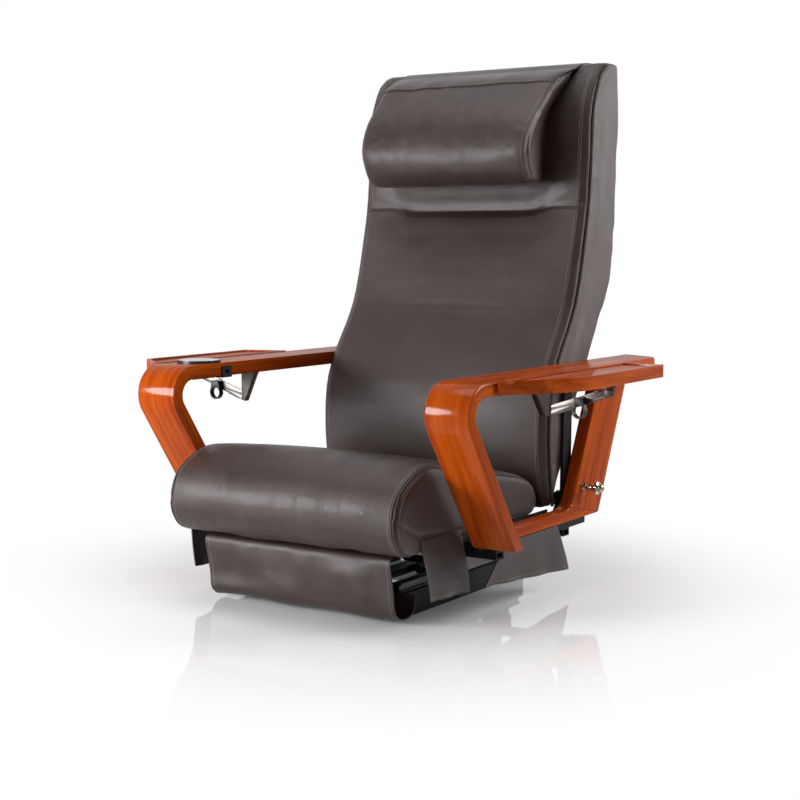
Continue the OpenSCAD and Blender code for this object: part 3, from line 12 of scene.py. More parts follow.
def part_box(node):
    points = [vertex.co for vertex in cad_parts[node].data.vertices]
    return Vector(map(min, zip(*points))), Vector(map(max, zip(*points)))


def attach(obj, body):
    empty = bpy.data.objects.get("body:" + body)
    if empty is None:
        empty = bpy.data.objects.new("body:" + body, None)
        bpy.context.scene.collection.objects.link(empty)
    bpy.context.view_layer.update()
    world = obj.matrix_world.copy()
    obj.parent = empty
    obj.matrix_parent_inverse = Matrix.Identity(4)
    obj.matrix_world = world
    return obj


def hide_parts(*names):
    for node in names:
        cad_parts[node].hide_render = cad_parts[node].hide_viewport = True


# Air massage chair top. Metres; the sitter faces -Y, +X is the sitter's left, Z is up.
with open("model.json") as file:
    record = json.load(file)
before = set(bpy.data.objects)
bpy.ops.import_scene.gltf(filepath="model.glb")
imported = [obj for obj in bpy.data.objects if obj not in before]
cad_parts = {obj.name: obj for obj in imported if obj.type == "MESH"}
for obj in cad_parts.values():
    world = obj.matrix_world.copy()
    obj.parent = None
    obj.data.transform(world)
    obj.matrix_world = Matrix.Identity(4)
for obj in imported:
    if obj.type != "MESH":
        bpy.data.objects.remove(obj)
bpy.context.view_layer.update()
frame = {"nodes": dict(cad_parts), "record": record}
NODES = frame["nodes"]
BODY_OF = {node: body for body, nodes in frame["record"]["behaviour"]["bodies"].items()
           for node in nodes}

# Camera at the photograph's viewing angle: place in metres, degrees, and lens and sensor in mm
CAMERA_PLACE = (1.7018, -2.5285, 0.6908)
CAMERA_AZIMUTH = 33.52
CAMERA_PITCH = -5.95
CAMERA_LENS = 68.95
SENSOR = 36.0

# Sewing: the length, width and height of a stitch, the width and depth of pressed seams, and
# the pitch of the points along a row, which breaks where two of them lie too far apart
STITCH_PITCH = 0.0050
STITCH_SIZE = (0.0036, 0.0014, 0.0010)
SEAT_SEAM = (0.0042, 0.0034)
SEAT_TUCK = (0.0036, 0.0020)
HEAD_SEAM = (0.0034, 0.0034)
RIM_SEAM = (0.0030, 0.0016)
PILLOW_SEAM = (0.0040, 0.0024)
SEAM_REACH = 3
SEAM_PITCH = 0.003
WELT_PITCH = 0.006
ROW_BREAK = 0.03

# Pulls and creases of the leather: their height, and the noise's scale along X, Y and Z
ROLL_PULLS = (0.0034, (13.0, 4.0, 5.0))
SEAT_TOP_PULLS = (0.0026, (5.0, 9.0, 5.0))
PAD_PULLS = (0.0022, (4.0, 2.0, 7.0))
SIDE_SLACK = (0.0042, (6.0, 14.0, 6.0))
SIDE_PUCKERS = (0.0030, (5.0, 30.0, 42.0))
REAR_SLACK = (0.0030, (5.0, 9.0, 6.0))
PILLOW_PULLS = (0.0036, (12.0, 4.0, 6.0))
APRON_WAVES = (0.012, (9.0, 0.0, 7.0))

# Skins of the padded pieces: the size of their mesh, how far they may fill out, and how hard
SEAT_VOXEL, SEAT_CAP = 0.0072, 0.010
BACK_VOXEL, BACK_CAP = 0.0080, 0.006
COVER_VOXEL, COVER_CAP = 0.0085, 0.006
PILLOW_VOXEL, PILLOW_CAP = 0.0068, 0.010
FULL_PRESSURE, BACK_PRESSURE = 4.0, 3.0
FILLING_FRAMES = 16
# Settings of the cloth, the least weight that pins it, the factor and rounds of smoothing before
# and after, and the share of a mesh cell by which a smoothed skin is let out again
FILLING_CLOTH = {"quality": 3, "tension_stiffness": 16, "compression_stiffness": 12,
                 "bending_stiffness": 0.4, "use_pressure": True}
PIN_LEAST = 0.02
RELAXED = (0.5, 2)
LET_OUT = 0.12

# Where the rays that lay out the sewing start, clear of the pieces they meet
RAY_FRONT_Y = -0.5
RAY_SIDE_X = 0.6
RAY_TOP_Z = 0.6

# Angles in degrees up to which a surface is shaded smooth
SMOOTH_RIGID = 32
SMOOTH_SHEET = 50
SMOOTH_THREAD = 60
SMOOTH_PADDED = 80


# Small helpers

BEVEL_DEG = 30


def take(obj):
    bpy.ops.object.select_all(action="DESELECT")
    obj.select_set(True)
    bpy.context.view_layer.objects.active = obj


def edit(obj, *steps):
    """Runs edit-mode steps on everything in the mesh."""
    take(obj)
    bpy.ops.object.mode_set(mode="EDIT")
    bpy.ops.mesh.select_all(action="SELECT")
    for step in steps:
        step()
    bpy.ops.object.mode_set(mode="OBJECT")


def apply_modifiers(obj):
    take(obj)
    for modifier in list(obj.modifiers):
        bpy.ops.object.modifier_apply(modifier=modifier.name)


def settle(obj):
    take(obj)
    bpy.ops.object.transform_apply(location=True, rotation=True, scale=True)
    return obj


def smooth(obj, angle):
    take(obj)
    bpy.ops.object.shade_smooth_by_angle(angle=math.radians(angle))


MERGE_DISTANCE = 0.00001
FLAT_DEG = 0.4


def merged():
    bpy.ops.mesh.remove_doubles(threshold=MERGE_DISTANCE)


def flattened():
    bpy.ops.mesh.dissolve_limited(angle_limit=math.radians(FLAT_DEG))


def copy_of(node, name):
    """A copy of a CAD node's mesh, merged into one skin."""
    mesh = NODES[node].data.copy()
    mesh.materials.clear()
    obj = bpy.data.objects.new(name, mesh)
    bpy.context.scene.collection.objects.link(obj)
    take(obj)
    if mesh.has_custom_normals:
        bpy.ops.mesh.customdata_custom_splitnormals_clear()
    edit(obj, merged)
    return obj


def points_of(obj):
    found = np.empty(len(obj.data.vertices) * 3)
    obj.data.vertices.foreach_get("co", found)
    return found.reshape(-1, 3)


def normals_of(obj):
    found = np.empty(len(obj.data.vertices) * 3)
    obj.data.vertices.foreach_get("normal", found)
    return found.reshape(-1, 3)


def place_points(obj, places):
    obj.data.vertices.foreach_set("co", np.ascontiguousarray(places).ravel())
    obj.data.update()


def mesh_object(name, points, faces):
    mesh = bpy.data.meshes.new(name)
    mesh.from_pydata([tuple(p) for p in points], [], [tuple(f) for f in faces])
    mesh.update()
    obj = bpy.data.objects.new(name, mesh)
    bpy.context.scene.collection.objects.link(obj)
    return obj


def finish_piece(obj, body, slot, *replaced, finish=None):
    """Gives a piece its body and the finish of its slot, unless another is named."""
    obj.data.materials.clear()
    obj.data.materials.append(MATERIALS[finish or slot])
    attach(obj, body)
    if replaced:
        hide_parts(*replaced)


def ease(t):
    """0 below 0 and 1 above 1, with a soft step between."""
    t = np.clip(t, 0, 1)
    return t * t * (3 - 2 * t)


def inside(p, limit, soft):
    """1 in the middle of the chair's width and 0 beyond the limit."""
    return ease((limit - np.abs(p[:, 0])) / soft)


def near_ends(p, half, band, soft):
    """1 at half the width, and 0 further in than the band."""
    return ease((np.abs(p[:, 0]) - (half - band)) / soft)


def bevel(obj, width, segments):
    modifier = obj.modifiers.new("rounding", "BEVEL")
    modifier.width = width
    modifier.segments = segments
    modifier.limit_method = "ANGLE"
    modifier.angle_limit = math.radians(BEVEL_DEG)
    modifier.use_clamp_overlap = True
    apply_modifiers(obj)


# Shader helpers

def add(tree, kind, inputs=None, **settings):
    made = tree.nodes.new(kind)
    for key, value in settings.items():
        setattr(made, key, value)
    for key, value in (inputs or {}).items():
        if isinstance(value, bpy.types.NodeSocket):
            tree.links.new(value, made.inputs[key])
        else:
            made.inputs[key].default_value = value
    return made


def math_node(tree, operation, a, b):
    return add(tree, "ShaderNodeMath", {0: a, 1: b}, operation=operation).outputs[0]


def ramp(tree, value, stops):
    made = add(tree, "ShaderNodeValToRGB", {"Fac": value})
    elements = made.color_ramp.elements
    while len(elements) < len(stops):
        elements.new(0.5)
    for element, (place, color) in zip(elements, stops):
        element.position = place
        element.color = (*color, 1) if len(color) == 3 else color
    return made.outputs["Color"]


def grey_ramp(tree, value, stops):
    return ramp(tree, value, [(place, (level,) * 3) for place, level in stops])


def group(name, inputs, outputs):
    tree = bpy.data.node_groups.new(name, "ShaderNodeTree")
    for label, kind, default in inputs:
        socket = tree.interface.new_socket(label, in_out="INPUT", socket_type=kind)
        if default is not None:
            socket.default_value = default
    for label, kind in outputs:
        tree.interface.new_socket(label, in_out="OUTPUT", socket_type=kind)
    return tree, tree.nodes.new("NodeGroupInput").outputs, tree.nodes.new("NodeGroupOutput").inputs


def leather_grain_group():
    """Mottling of the dye and the height of pores and fine creases."""
    tree, given, result = group(
        "leather_grain",
        [("Vector", "NodeSocketVector", None), ("Pores", "NodeSocketFloat", 620.0)],
        [("Mottle", "NodeSocketFloat"), ("Height", "NodeSocketFloat")])
    cloud = add(tree, "ShaderNodeTexNoise",
                {"Vector": given["Vector"], "Scale": 7.0, "Detail": 4.0, "Roughness": 0.55})
    cells = add(tree, "ShaderNodeTexVoronoi",
                {"Vector": given["Vector"], "Scale": given["Pores"]}, feature="DISTANCE_TO_EDGE")
    creases = add(tree, "ShaderNodeTexNoise",
                  {"Vector": given["Vector"], "Scale": 190.0, "Detail": 3.0, "Roughness": 0.6})
    pits = grey_ramp(tree, cells.outputs["Distance"], [(0.0, 0.0), (0.18, 0.8), (0.5, 1.0)])
    height = math_node(tree, "ADD", pits, math_node(tree, "MULTIPLY", creases.outputs["Fac"], 1.4))
    tree.links.new(cloud.outputs["Fac"], result["Mottle"])
    tree.links.new(height, result["Height"])
    return tree


def wood_fibre_group():
    """Streaks that run along the second coordinate, in metres along the board."""
    tree, given, result = group(
        "wood_fibre",
        [("Vector", "NodeSocketVector", None)],
        [("Figure", "NodeSocketFloat"), ("Fibre", "NodeSocketFloat")])
    wide = add(tree, "ShaderNodeMapping", {"Vector": given["Vector"], "Scale": (52.0, 3.2, 52.0)})
    fine = add(tree, "ShaderNodeMapping", {"Vector": given["Vector"], "Scale": (420.0, 9.0, 420.0)})
    figure = add(tree, "ShaderNodeTexNoise",
                 {"Vector": wide.outputs[0], "Scale": 1.0, "Detail": 5.0, "Roughness": 0.6,
                  "Distortion": 0.6})
    fibre = add(tree, "ShaderNodeTexNoise",
                {"Vector": fine.outputs[0], "Scale": 1.0, "Detail": 2.0, "Roughness": 0.5})
    tree.links.new(figure.outputs["Fac"], result["Figure"])
    tree.links.new(fibre.outputs["Fac"], result["Fibre"])
    return tree


SPECKLE_SCALE = 900.0


def speckle_group():
    """Fine unevenness of moulded plastic, powder coat and worked metal."""
    tree, given, result = group(
        "speckle",
        [("Vector", "NodeSocketVector", None), ("Scale", "NodeSocketFloat", SPECKLE_SCALE)],
        [("Fine", "NodeSocketFloat"), ("Broad", "NodeSocketFloat")])
    fine = add(tree, "ShaderNodeTexNoise",
               {"Vector": given["Vector"], "Scale": given["Scale"], "Detail": 2.0})
    broad = add(tree, "ShaderNodeTexNoise",
                {"Vector": given["Vector"], "Scale": 26.0, "Detail": 3.0})
    tree.links.new(fine.outputs["Fac"], result["Fine"])
    tree.links.new(broad.outputs["Fac"], result["Broad"])
    return tree


LEATHER_GRAIN = leather_grain_group()
WOOD_FIBRE = wood_fibre_group()
SPECKLE = speckle_group()


def shader_material(name, **sockets):
    material = bpy.data.materials.new(name)
    material.use_nodes = True
    tree = material.node_tree
    shader = tree.nodes["Principled BSDF"]
    for label, value in sockets.items():
        shader.inputs[label.replace("_", " ")].default_value = value
    return material, tree, shader


def object_place(tree):
    return add(tree, "ShaderNodeTexCoord").outputs["Object"]


def bump(tree, shader, height, distance):
    made = add(tree, "ShaderNodeBump", {"Height": height, "Distance": distance, "Strength": 1.0})
    tree.links.new(made.outputs["Normal"], shader.inputs["Normal"])


PORE_DEPTH = 0.00018
FIBRE_DEPTH = 0.00006


def leather(name, deep, light, roughness, pores=620.0):
    material, tree, shader = shader_material(name, Specular_IOR_Level=0.55)
    skin = add(tree, "ShaderNodeGroup", node_tree=LEATHER_GRAIN)
    tree.links.new(object_place(tree), skin.inputs["Vector"])
    skin.inputs["Pores"].default_value = pores
    color = ramp(tree, skin.outputs["Mottle"], [(0.3, deep), (0.7, light)])
    gloss = grey_ramp(tree, skin.outputs["Mottle"],
                      [(0.35, roughness[0]), (0.7, roughness[1])])
    tree.links.new(color, shader.inputs["Base Color"])
    tree.links.new(gloss, shader.inputs["Roughness"])
    bump(tree, shader, skin.outputs["Height"], PORE_DEPTH)
    return material


def wood(name, dark, middle, light):
    material, tree, shader = shader_material(
        name, Specular_IOR_Level=0.0, Coat_Weight=0.45, Coat_Roughness=0.13, Coat_IOR=1.5)
    along = add(tree, "ShaderNodeAttribute", attribute_name="grain").outputs["Vector"]
    fibres = add(tree, "ShaderNodeGroup", node_tree=WOOD_FIBRE)
    tree.links.new(along, fibres.inputs["Vector"])
    blend = math_node(tree, "ADD", math_node(tree, "MULTIPLY", fibres.outputs["Figure"], 0.75),
                      math_node(tree, "MULTIPLY", fibres.outputs["Fibre"], 0.25))
    color = ramp(tree, blend, [(0.34, dark), (0.5, middle), (0.66, light)])
    tree.links.new(color, shader.inputs["Base Color"])
    gloss = grey_ramp(tree, fibres.outputs["Fibre"], [(0.3, 0.3), (0.7, 0.42)])
    tree.links.new(gloss, shader.inputs["Roughness"])
    bump(tree, shader, fibres.outputs["Fibre"], FIBRE_DEPTH)
    return material


def speckled(name, dark, light, roughness, metallic=0.0, depth=0.00008, **sockets):
    material, tree, shader = shader_material(name, Metallic=metallic, **sockets)
    grain = add(tree, "ShaderNodeGroup", node_tree=SPECKLE)
    tree.links.new(object_place(tree), grain.inputs["Vector"])
    grain.inputs["Scale"].default_value = SPECKLE_SCALE
    color = ramp(tree, grain.outputs["Broad"], [(0.3, dark), (0.7, light)])
    gloss = grey_ramp(tree, grain.outputs["Broad"], [(0.3, roughness[0]), (0.7, roughness[1])])
    tree.links.new(color, shader.inputs["Base Color"])
    tree.links.new(gloss, shader.inputs["Roughness"])
    bump(tree, shader, grain.outputs["Fine"], depth)
    return material


MATERIALS = {
    "leather": leather("leather", (0.030, 0.0185, 0.016), (0.046, 0.029, 0.0255),
                       roughness=(0.28, 0.37)),
    # side_leather is the pad's leather painted about twice as light: painted light, standing in for
    # the side lamp's light on the cover's side panels
    "side_leather": leather("side_leather", (0.066, 0.049, 0.045), (0.094, 0.072, 0.067),
                            roughness=(0.40, 0.52)),
    "skirt_leather": leather("skirt_leather", (0.028, 0.017, 0.0148), (0.042, 0.026, 0.023),
                             roughness=(0.32, 0.42), pores=540.0),
    "bent_wood": wood("bent_wood", (0.22, 0.027, 0.002), (0.36, 0.053, 0.003),
                      (0.49, 0.088, 0.006)),
    "black_steel": speckled("black_steel", (0.008, 0.008, 0.009), (0.014, 0.014, 0.015),
                            (0.42, 0.55), Specular_IOR_Level=0.22),
    # bright_steel is darkened far below bright steel: painted shade for the rails and bearers that
    # sit in the shade under the seat
    "bright_steel": speckled("bright_steel", (0.06, 0.058, 0.056), (0.11, 0.107, 0.104),
                             (0.34, 0.46), metallic=1.0),
    "grey_steel": speckled("grey_steel", (0.15, 0.138, 0.128), (0.26, 0.24, 0.225),
                           (0.34, 0.46), metallic=1.0),
    "black_plastic": speckled("black_plastic", (0.010, 0.010, 0.011), (0.018, 0.018, 0.020),
                              (0.38, 0.5)),
    "grey_plastic": speckled("grey_plastic", (0.42, 0.41, 0.42), (0.52, 0.51, 0.52),
                             (0.42, 0.52)),
    "hose": speckled("hose", (0.01, 0.01, 0.011), (0.018, 0.018, 0.02), (0.5, 0.6)),
    "air_bag": speckled("air_bag", (0.05, 0.055, 0.06), (0.08, 0.085, 0.09), (0.5, 0.65)),
    "plywood": speckled("plywood", (0.42, 0.25, 0.11), (0.56, 0.36, 0.17), (0.5, 0.65)),
    "knob_metal": speckled("knob_metal", (0.55, 0.5, 0.42), (0.7, 0.66, 0.58), (0.1, 0.16),
                           metallic=1.0, depth=0.00002),
    "charger": speckled("charger", (0.012, 0.012, 0.013), (0.02, 0.02, 0.022), (0.25, 0.35)),
    "charger_face": speckled("charger_face", (0.5, 0.52, 0.55), (0.66, 0.68, 0.71), (0.2, 0.3),
                             metallic=0.4, depth=0.00002),
    "thread": speckled("thread", (0.22, 0.19, 0.17), (0.32, 0.28, 0.255), (0.6, 0.7)),
}

# Every CAD node takes the finish of its slot
for part in frame["record"]["subparts"]:
    node = NODES[part["node"]]
    node.data.materials.clear()
    node.data.materials.append(MATERIALS[part["material_slot"]])


# Stage: camera, floor, lamps and world

def photo_camera():
    data = bpy.data.cameras.new("photo_camera")
    data.lens = CAMERA_LENS
    data.sensor_width = SENSOR
    camera = bpy.data.objects.new("photo_camera", data)
    bpy.context.scene.collection.objects.link(camera)
    camera.location = CAMERA_PLACE
    camera.rotation_euler = (math.radians(90 + CAMERA_PITCH), 0, math.radians(CAMERA_AZIMUTH))
    bpy.context.scene.camera = camera


FLOOR_SIZE = 24.0
# Distances from the middle where the floor starts to turn white and is white
FLOOR_NEAR = 0.42
FLOOR_FAR = 1.0
# The floor's own light near the object, and how bright the background is in gloss
FLOOR_LIFT = 0.05
FLOOR_GLOSS = 0.35


def background_rays(tree):
    """1 on the rays that show the background, and how bright it is on each of them."""
    path = add(tree, "ShaderNodeLightPath")
    glossy = math_node(tree, "MULTIPLY", path.outputs["Is Glossy Ray"], FLOOR_GLOSS)
    clear = math_node(tree, "MAXIMUM", path.outputs["Is Camera Ray"],
                      path.outputs["Is Transmission Ray"])
    seen = math_node(tree, "MAXIMUM", clear, path.outputs["Is Glossy Ray"])
    return seen, math_node(tree, "MAXIMUM", clear, glossy)


def pale_floor():
    """White studio floor with a faint mirror image under the object, pure white further out."""
    bpy.ops.mesh.primitive_plane_add(size=FLOOR_SIZE, location=(0, 0, 0))
    floor = bpy.context.active_object
    floor.name = "floor"
    material, tree, shader = shader_material("pale_floor", Roughness=0.04, Specular_IOR_Level=0.7)
    shader.inputs["Base Color"].default_value = (0.9, 0.9, 0.9, 1)
    far = add(tree, "ShaderNodeVectorMath", {0: object_place(tree)}, operation="LENGTH")
    mask = add(tree, "ShaderNodeMapRange",
               {"Value": far.outputs["Value"], "From Min": FLOOR_NEAR, "From Max": FLOOR_FAR},
               interpolation_type="SMOOTHSTEP")
    seen, level = background_rays(tree)
    lift = add(tree, "ShaderNodeEmission",
               {"Color": (1, 1, 1, 1), "Strength": math_node(tree, "MULTIPLY", level, FLOOR_LIFT)})
    near = add(tree, "ShaderNodeAddShader", {0: shader.outputs[0], 1: lift.outputs[0]})
    white = add(tree, "ShaderNodeEmission", {"Color": (1, 1, 1, 1), "Strength": level})
    factor = math_node(tree, "MULTIPLY", mask.outputs["Result"], seen)
    both = add(tree, "ShaderNodeMixShader", {0: factor, 1: near.outputs[0], 2: white.outputs[0]})
    tree.links.new(both.outputs[0], tree.nodes["Material Output"].inputs["Surface"])
    floor.data.materials.append(material)


# Strength of the world as light, in gloss in front, and in gloss behind the object
SOFT_LIGHT = 0.29
FRONT_GLOSS = 0.09
BACKDROP_GLOSS = 0.85
BACKDROP_WAY = (-0.55, 0.83, 0.0)


def studio_world():
    """White where it is seen. In gloss, a white backdrop behind the object and a dim room."""
    world = bpy.data.worlds.new("studio")
    bpy.context.scene.world = world
    world.use_nodes = True
    tree = world.node_tree
    tree.nodes.clear()
    path = add(tree, "ShaderNodeLightPath")
    way = add(tree, "ShaderNodeTexCoord").outputs["Generated"]
    towards = add(tree, "ShaderNodeVectorMath", {0: way, 1: BACKDROP_WAY}, operation="DOT_PRODUCT")
    gloss = add(tree, "ShaderNodeMapRange",
                {"Value": towards.outputs["Value"], "From Min": 0.0, "From Max": 0.9,
                 "To Min": FRONT_GLOSS, "To Max": BACKDROP_GLOSS}, interpolation_type="SMOOTHSTEP")
    shown = math_node(tree, "MAXIMUM", path.outputs["Is Camera Ray"],
                      path.outputs["Is Transmission Ray"])
    level = math_node(tree, "MAXIMUM", shown, math_node(
        tree, "MULTIPLY", path.outputs["Is Glossy Ray"], gloss.outputs["Result"]))
    level = math_node(tree, "MAXIMUM", level, math_node(
        tree, "MULTIPLY", path.outputs["Is Diffuse Ray"], SOFT_LIGHT))
    soft = add(tree, "ShaderNodeBackground", {"Color": (1, 1, 1, 1), "Strength": level})
    output = add(tree, "ShaderNodeOutputWorld")
    tree.links.new(soft.outputs[0], output.inputs["Surface"])


def softbox(name, place, target, size, power):
    data = bpy.data.lights.new(name, "AREA")
    data.shape = "ELLIPSE"
    data.size, data.size_y = size
    data.energy = power
    lamp = bpy.data.objects.new(name, data)
    bpy.context.scene.collection.objects.link(lamp)
    lamp.location = place
    aim = Vector(target) - Vector(place)
    lamp.rotation_euler = aim.to_track_quat("-Z", "Y").to_euler()


photo_camera()
pale_floor()
studio_world()
# Place, aim and size in metres, and power in watts
softbox("overhead", (0.0, -0.2, 3.0), (0, 0.1, 0.4), (2.4, 2.0), 29)
softbox("key", (-1.45, -2.1, 0.75), (0, -0.1, 0.5), (1.4, 0.9), 68)
softbox("side", (2.3, 1.9, 1.5), (0.2, 0.2, 0.6), (1.6, 1.6), 62)
bpy.context.scene.view_settings.view_transform = "Standard"


# Sewing: a row is a list of surface points with their normals

# The sitter's right lies at -X and the left at +X
SIDES = (-1, 1)
SIDE_NAMES = ("right", "left")


def surface(obj):
    return BVHTree.FromObject(obj, bpy.context.evaluated_depsgraph_get())


def trace(tree, starts, ways):
    """Where rays from starts along ways meet the surface."""
    row = []
    for start, way in zip(starts, ways):
        place, normal, _, _ = tree.ray_cast(Vector(start), Vector(way).normalized())
        if place is not None:
            row.append((place, normal))
    return row


def trace_front(tree, xs, zs, y=RAY_FRONT_Y):
    """Where rays from the front to the rear meet the surface."""
    return trace(tree, [(x, y, z) for x, z in zip(xs, zs)], [(0, 1, 0)] * len(zs))


def trace_side(tree, s, spots):
    """Where rays from side s to the middle meet the surface, at spots given as (y, z)."""
    return trace(tree, [(s * RAY_SIDE_X, y, z) for y, z in spots], [(-s, 0, 0)] * len(spots))


def one_stitch():
    bpy.ops.mesh.primitive_uv_sphere_add(segments=6, ring_count=4, radius=0.5)
    seed = bpy.context.active_object
    points = points_of(seed)[:, [2, 0, 1]]
    faces = [list(face.vertices) for face in seed.data.polygons]
    bpy.data.objects.remove(seed)
    return points, faces


STITCH_POINTS, STITCH_FACES = one_stitch()


def along_row(row, pitch):
    """Evenly spaced places on a row with the way it runs there; a jump breaks the row."""
    found = []
    carry = 0.0
    for (a, na), (b, nb) in zip(row, row[1:]):
        step = b - a
        length = step.length
        if length < 1e-7 or length > ROW_BREAK:
            carry = 0.0
            continue
        while carry < length:
            t = carry / length
            found.append((a.lerp(b, t), na.lerp(nb, t).normalized(), step.normalized()))
            carry += pitch
        carry -= length
    return found


def stitches(name, rows, body):
    points, faces = [], []
    length, width, height = STITCH_SIZE
    for row in rows:
        for place, normal, way in along_row(row, STITCH_PITCH):
            side = normal.cross(way).normalized()
            turn = np.array([way * length, side * width, normal * height])
            first = len(points)
            points.extend(STITCH_POINTS @ turn + np.array(place))
            faces.extend([first + i for i in face] for face in STITCH_FACES)
    obj = mesh_object(name, points, faces)
    smooth(obj, SMOOTH_THREAD)
    finish_piece(obj, body, "leather", finish="thread")


def press(obj, row, width, depth):
    """Presses a seam into the skin along a row."""
    places = [place for place, _, _ in along_row(row, SEAM_PITCH)]
    if not places:
        return
    tree = KDTree(len(places))
    for index, place in enumerate(places):
        tree.insert(place, index)
    tree.balance()
    points, normals = points_of(obj), normals_of(obj)
    reach = SEAM_REACH * width
    low, high = np.array(places).min(0) - reach, np.array(places).max(0) + reach
    near = np.nonzero(np.all((points > low) & (points < high), axis=1))[0]
    for index in near:
        distance = tree.find(Vector(points[index]))[2]
        if distance < reach:
            points[index] -= normals[index] * depth * math.exp(-(distance / width) ** 2)
    place_points(obj, points)


def welt(name, row, radius, body, lift):
    """A leather piping laid along a row, lifted from the skin by a share of its radius."""
    spots = [place + normal * radius * lift for place, normal, _ in along_row(row, WELT_PITCH)]
    curve = bpy.data.curves.new(name, "CURVE")
    curve.dimensions = "3D"
    curve.bevel_depth = radius
    curve.bevel_resolution = 2
    spline = curve.splines.new("POLY")
    spline.points.add(len(spots) - 1)
    for point, spot in zip(spline.points, spots):
        point.co = (*spot, 1)
    obj = bpy.data.objects.new(name, curve)
    bpy.context.scene.collection.objects.link(obj)
    take(obj)
    bpy.ops.object.convert(target="MESH")
    obj = bpy.context.active_object
    smooth(obj, SMOOTH_THREAD)
    finish_piece(obj, body, "leather")


# Padding

def remesh(obj, voxel):
    take(obj)
    obj.data.remesh_voxel_size = voxel
    obj.data.remesh_voxel_adaptivity = 0
    bpy.ops.object.voxel_remesh()


def relax(obj, factor, rounds):
    modifier = obj.modifiers.new("relax", "SMOOTH")
    modifier.factor = factor
    modifier.iterations = rounds
    apply_modifiers(obj)


def fill(obj, voxel, held, cap, pressure=FULL_PRESSURE):
    """Remeshes a padded piece and blows it up as a filled cover that is held at its seams.
    held gives 1 where the cover can't move and 0 where it is free."""
    remesh(obj, voxel)
    relax(obj, *RELAXED)
    start = points_of(obj)
    pinned = obj.vertex_groups.new(name="held")
    pins = np.clip(held(start, normals_of(obj)), 0, 1)
    for index in np.nonzero(pins > PIN_LEAST)[0]:
        pinned.add([int(index)], float(pins[index]), "REPLACE")
    cloth = obj.modifiers.new("filling", "CLOTH")
    for key, value in FILLING_CLOTH.items():
        setattr(cloth.settings, key, value)
    cloth.settings.uniform_pressure_force = pressure
    cloth.settings.effector_weights.gravity = 0
    cloth.settings.vertex_group_mass = "held"
    cloth.collision_settings.use_collision = False
    cloth.point_cache.frame_end = FILLING_FRAMES
    scene = bpy.context.scene
    for step in range(1, FILLING_FRAMES + 1):
        scene.frame_set(step)
    filled = obj.evaluated_get(bpy.context.evaluated_depsgraph_get())
    moved = points_of(filled) - start
    obj.modifiers.remove(cloth)
    obj.vertex_groups.remove(pinned)
    scene.frame_set(1)
    length = np.linalg.norm(moved, axis=1, keepdims=True)
    moved *= np.minimum(1, cap / np.maximum(length, 1e-9))
    place_points(obj, start + moved)
    relax(obj, *RELAXED)
    finer = obj.modifiers.new("finer", "SUBSURF")
    finer.levels = finer.render_levels = 1
    apply_modifiers(obj)
    # Smoothing has drawn the skin in
    place_points(obj, points_of(obj) + normals_of(obj) * voxel * LET_OUT)


def ripple(obj, pulls, mask):
    """Soft creases: the skin moves along its normal by noise, where mask says."""
    strength, scale = pulls
    points, normals = points_of(obj), normals_of(obj)
    amount = mask(points, normals) * strength
    for index in np.nonzero(np.abs(amount) > 1e-6)[0]:
        place = Vector(points[index] * scale)
        level = noise.fractal(place, 1.0, 2.0, 3, noise_basis="PERLIN_ORIGINAL")
        points[index] += normals[index] * amount[index] * level
    place_points(obj, points)


def circle_rays(x, y, z, first, last, step, reach=0.5):
    """Starts and ways of rays in the side view that aim at (y, z) from angles round it."""
    starts, ways = [], []
    for turn in np.arange(first, last, step):
        a = math.radians(turn)
        starts.append((x, y + reach * math.cos(a), z + reach * math.sin(a)))
        ways.append((0, -math.cos(a), -math.sin(a)))
    return starts, ways


# Seat cushion: front roll, end panels sewn in with a piped seam, flat top to the rear

ROLL_Y, ROLL_Z = -0.300, 0.222
SEAT_REAR_Y, SEAT_REAR_Z = 0.085, 0.190
# First and last angle and step, in degrees, of the rays round the roll and the rear corner
ROLL_TURN = (95, 262, 2.5)
REAR_TURN = (-50, 88, 5)
SEAT_TOP_STEP = 0.008
SEAT_SEAM_IN = 0.009
SEAT_STITCHES_IN = (0.0062, 0.0112)
END_STITCHES_IN = 0.007
SEAT_PIPING = 0.0024
SEAT_PIPING_LIFT = 0.2
SEAT_SLACK_X = 0.250
SEAT_END_BAND = (0.014, 0.008)
# Side view of the tuck across each end panel
TUCK_LINE = [(-0.362, 0.204), (-0.303, 0.174), (-0.22, 0.168), (-0.147, 0.162)]


def seat_line(tree, x):
    """A row over the seat from the rear corner along the top and round the front roll."""
    roll = trace(tree, *circle_rays(x, ROLL_Y, ROLL_Z, *ROLL_TURN))
    ys = np.arange(SEAT_REAR_Y, ROLL_Y, -SEAT_TOP_STEP)
    top = trace(tree, [(x, y, RAY_TOP_Z) for y in ys], [(0, 0, -1)] * len(ys))
    return trace(tree, *circle_rays(x, SEAT_REAR_Y, SEAT_REAR_Z, *REAR_TURN)) + top + roll


def seat_held(p, n):
    """The cover is held at the end seams, on the end panels, underneath and at the rear."""
    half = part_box("seat_cushion")[1].x
    ends = near_ends(p, half, *SEAT_END_BAND)
    under = ease((-n[:, 2] - 0.5) / 0.3) * ease((p[:, 1] + 0.29) / 0.05)
    rear = ease((p[:, 1] - 0.105) / 0.02)
    return np.maximum(np.maximum(ends, under), rear)


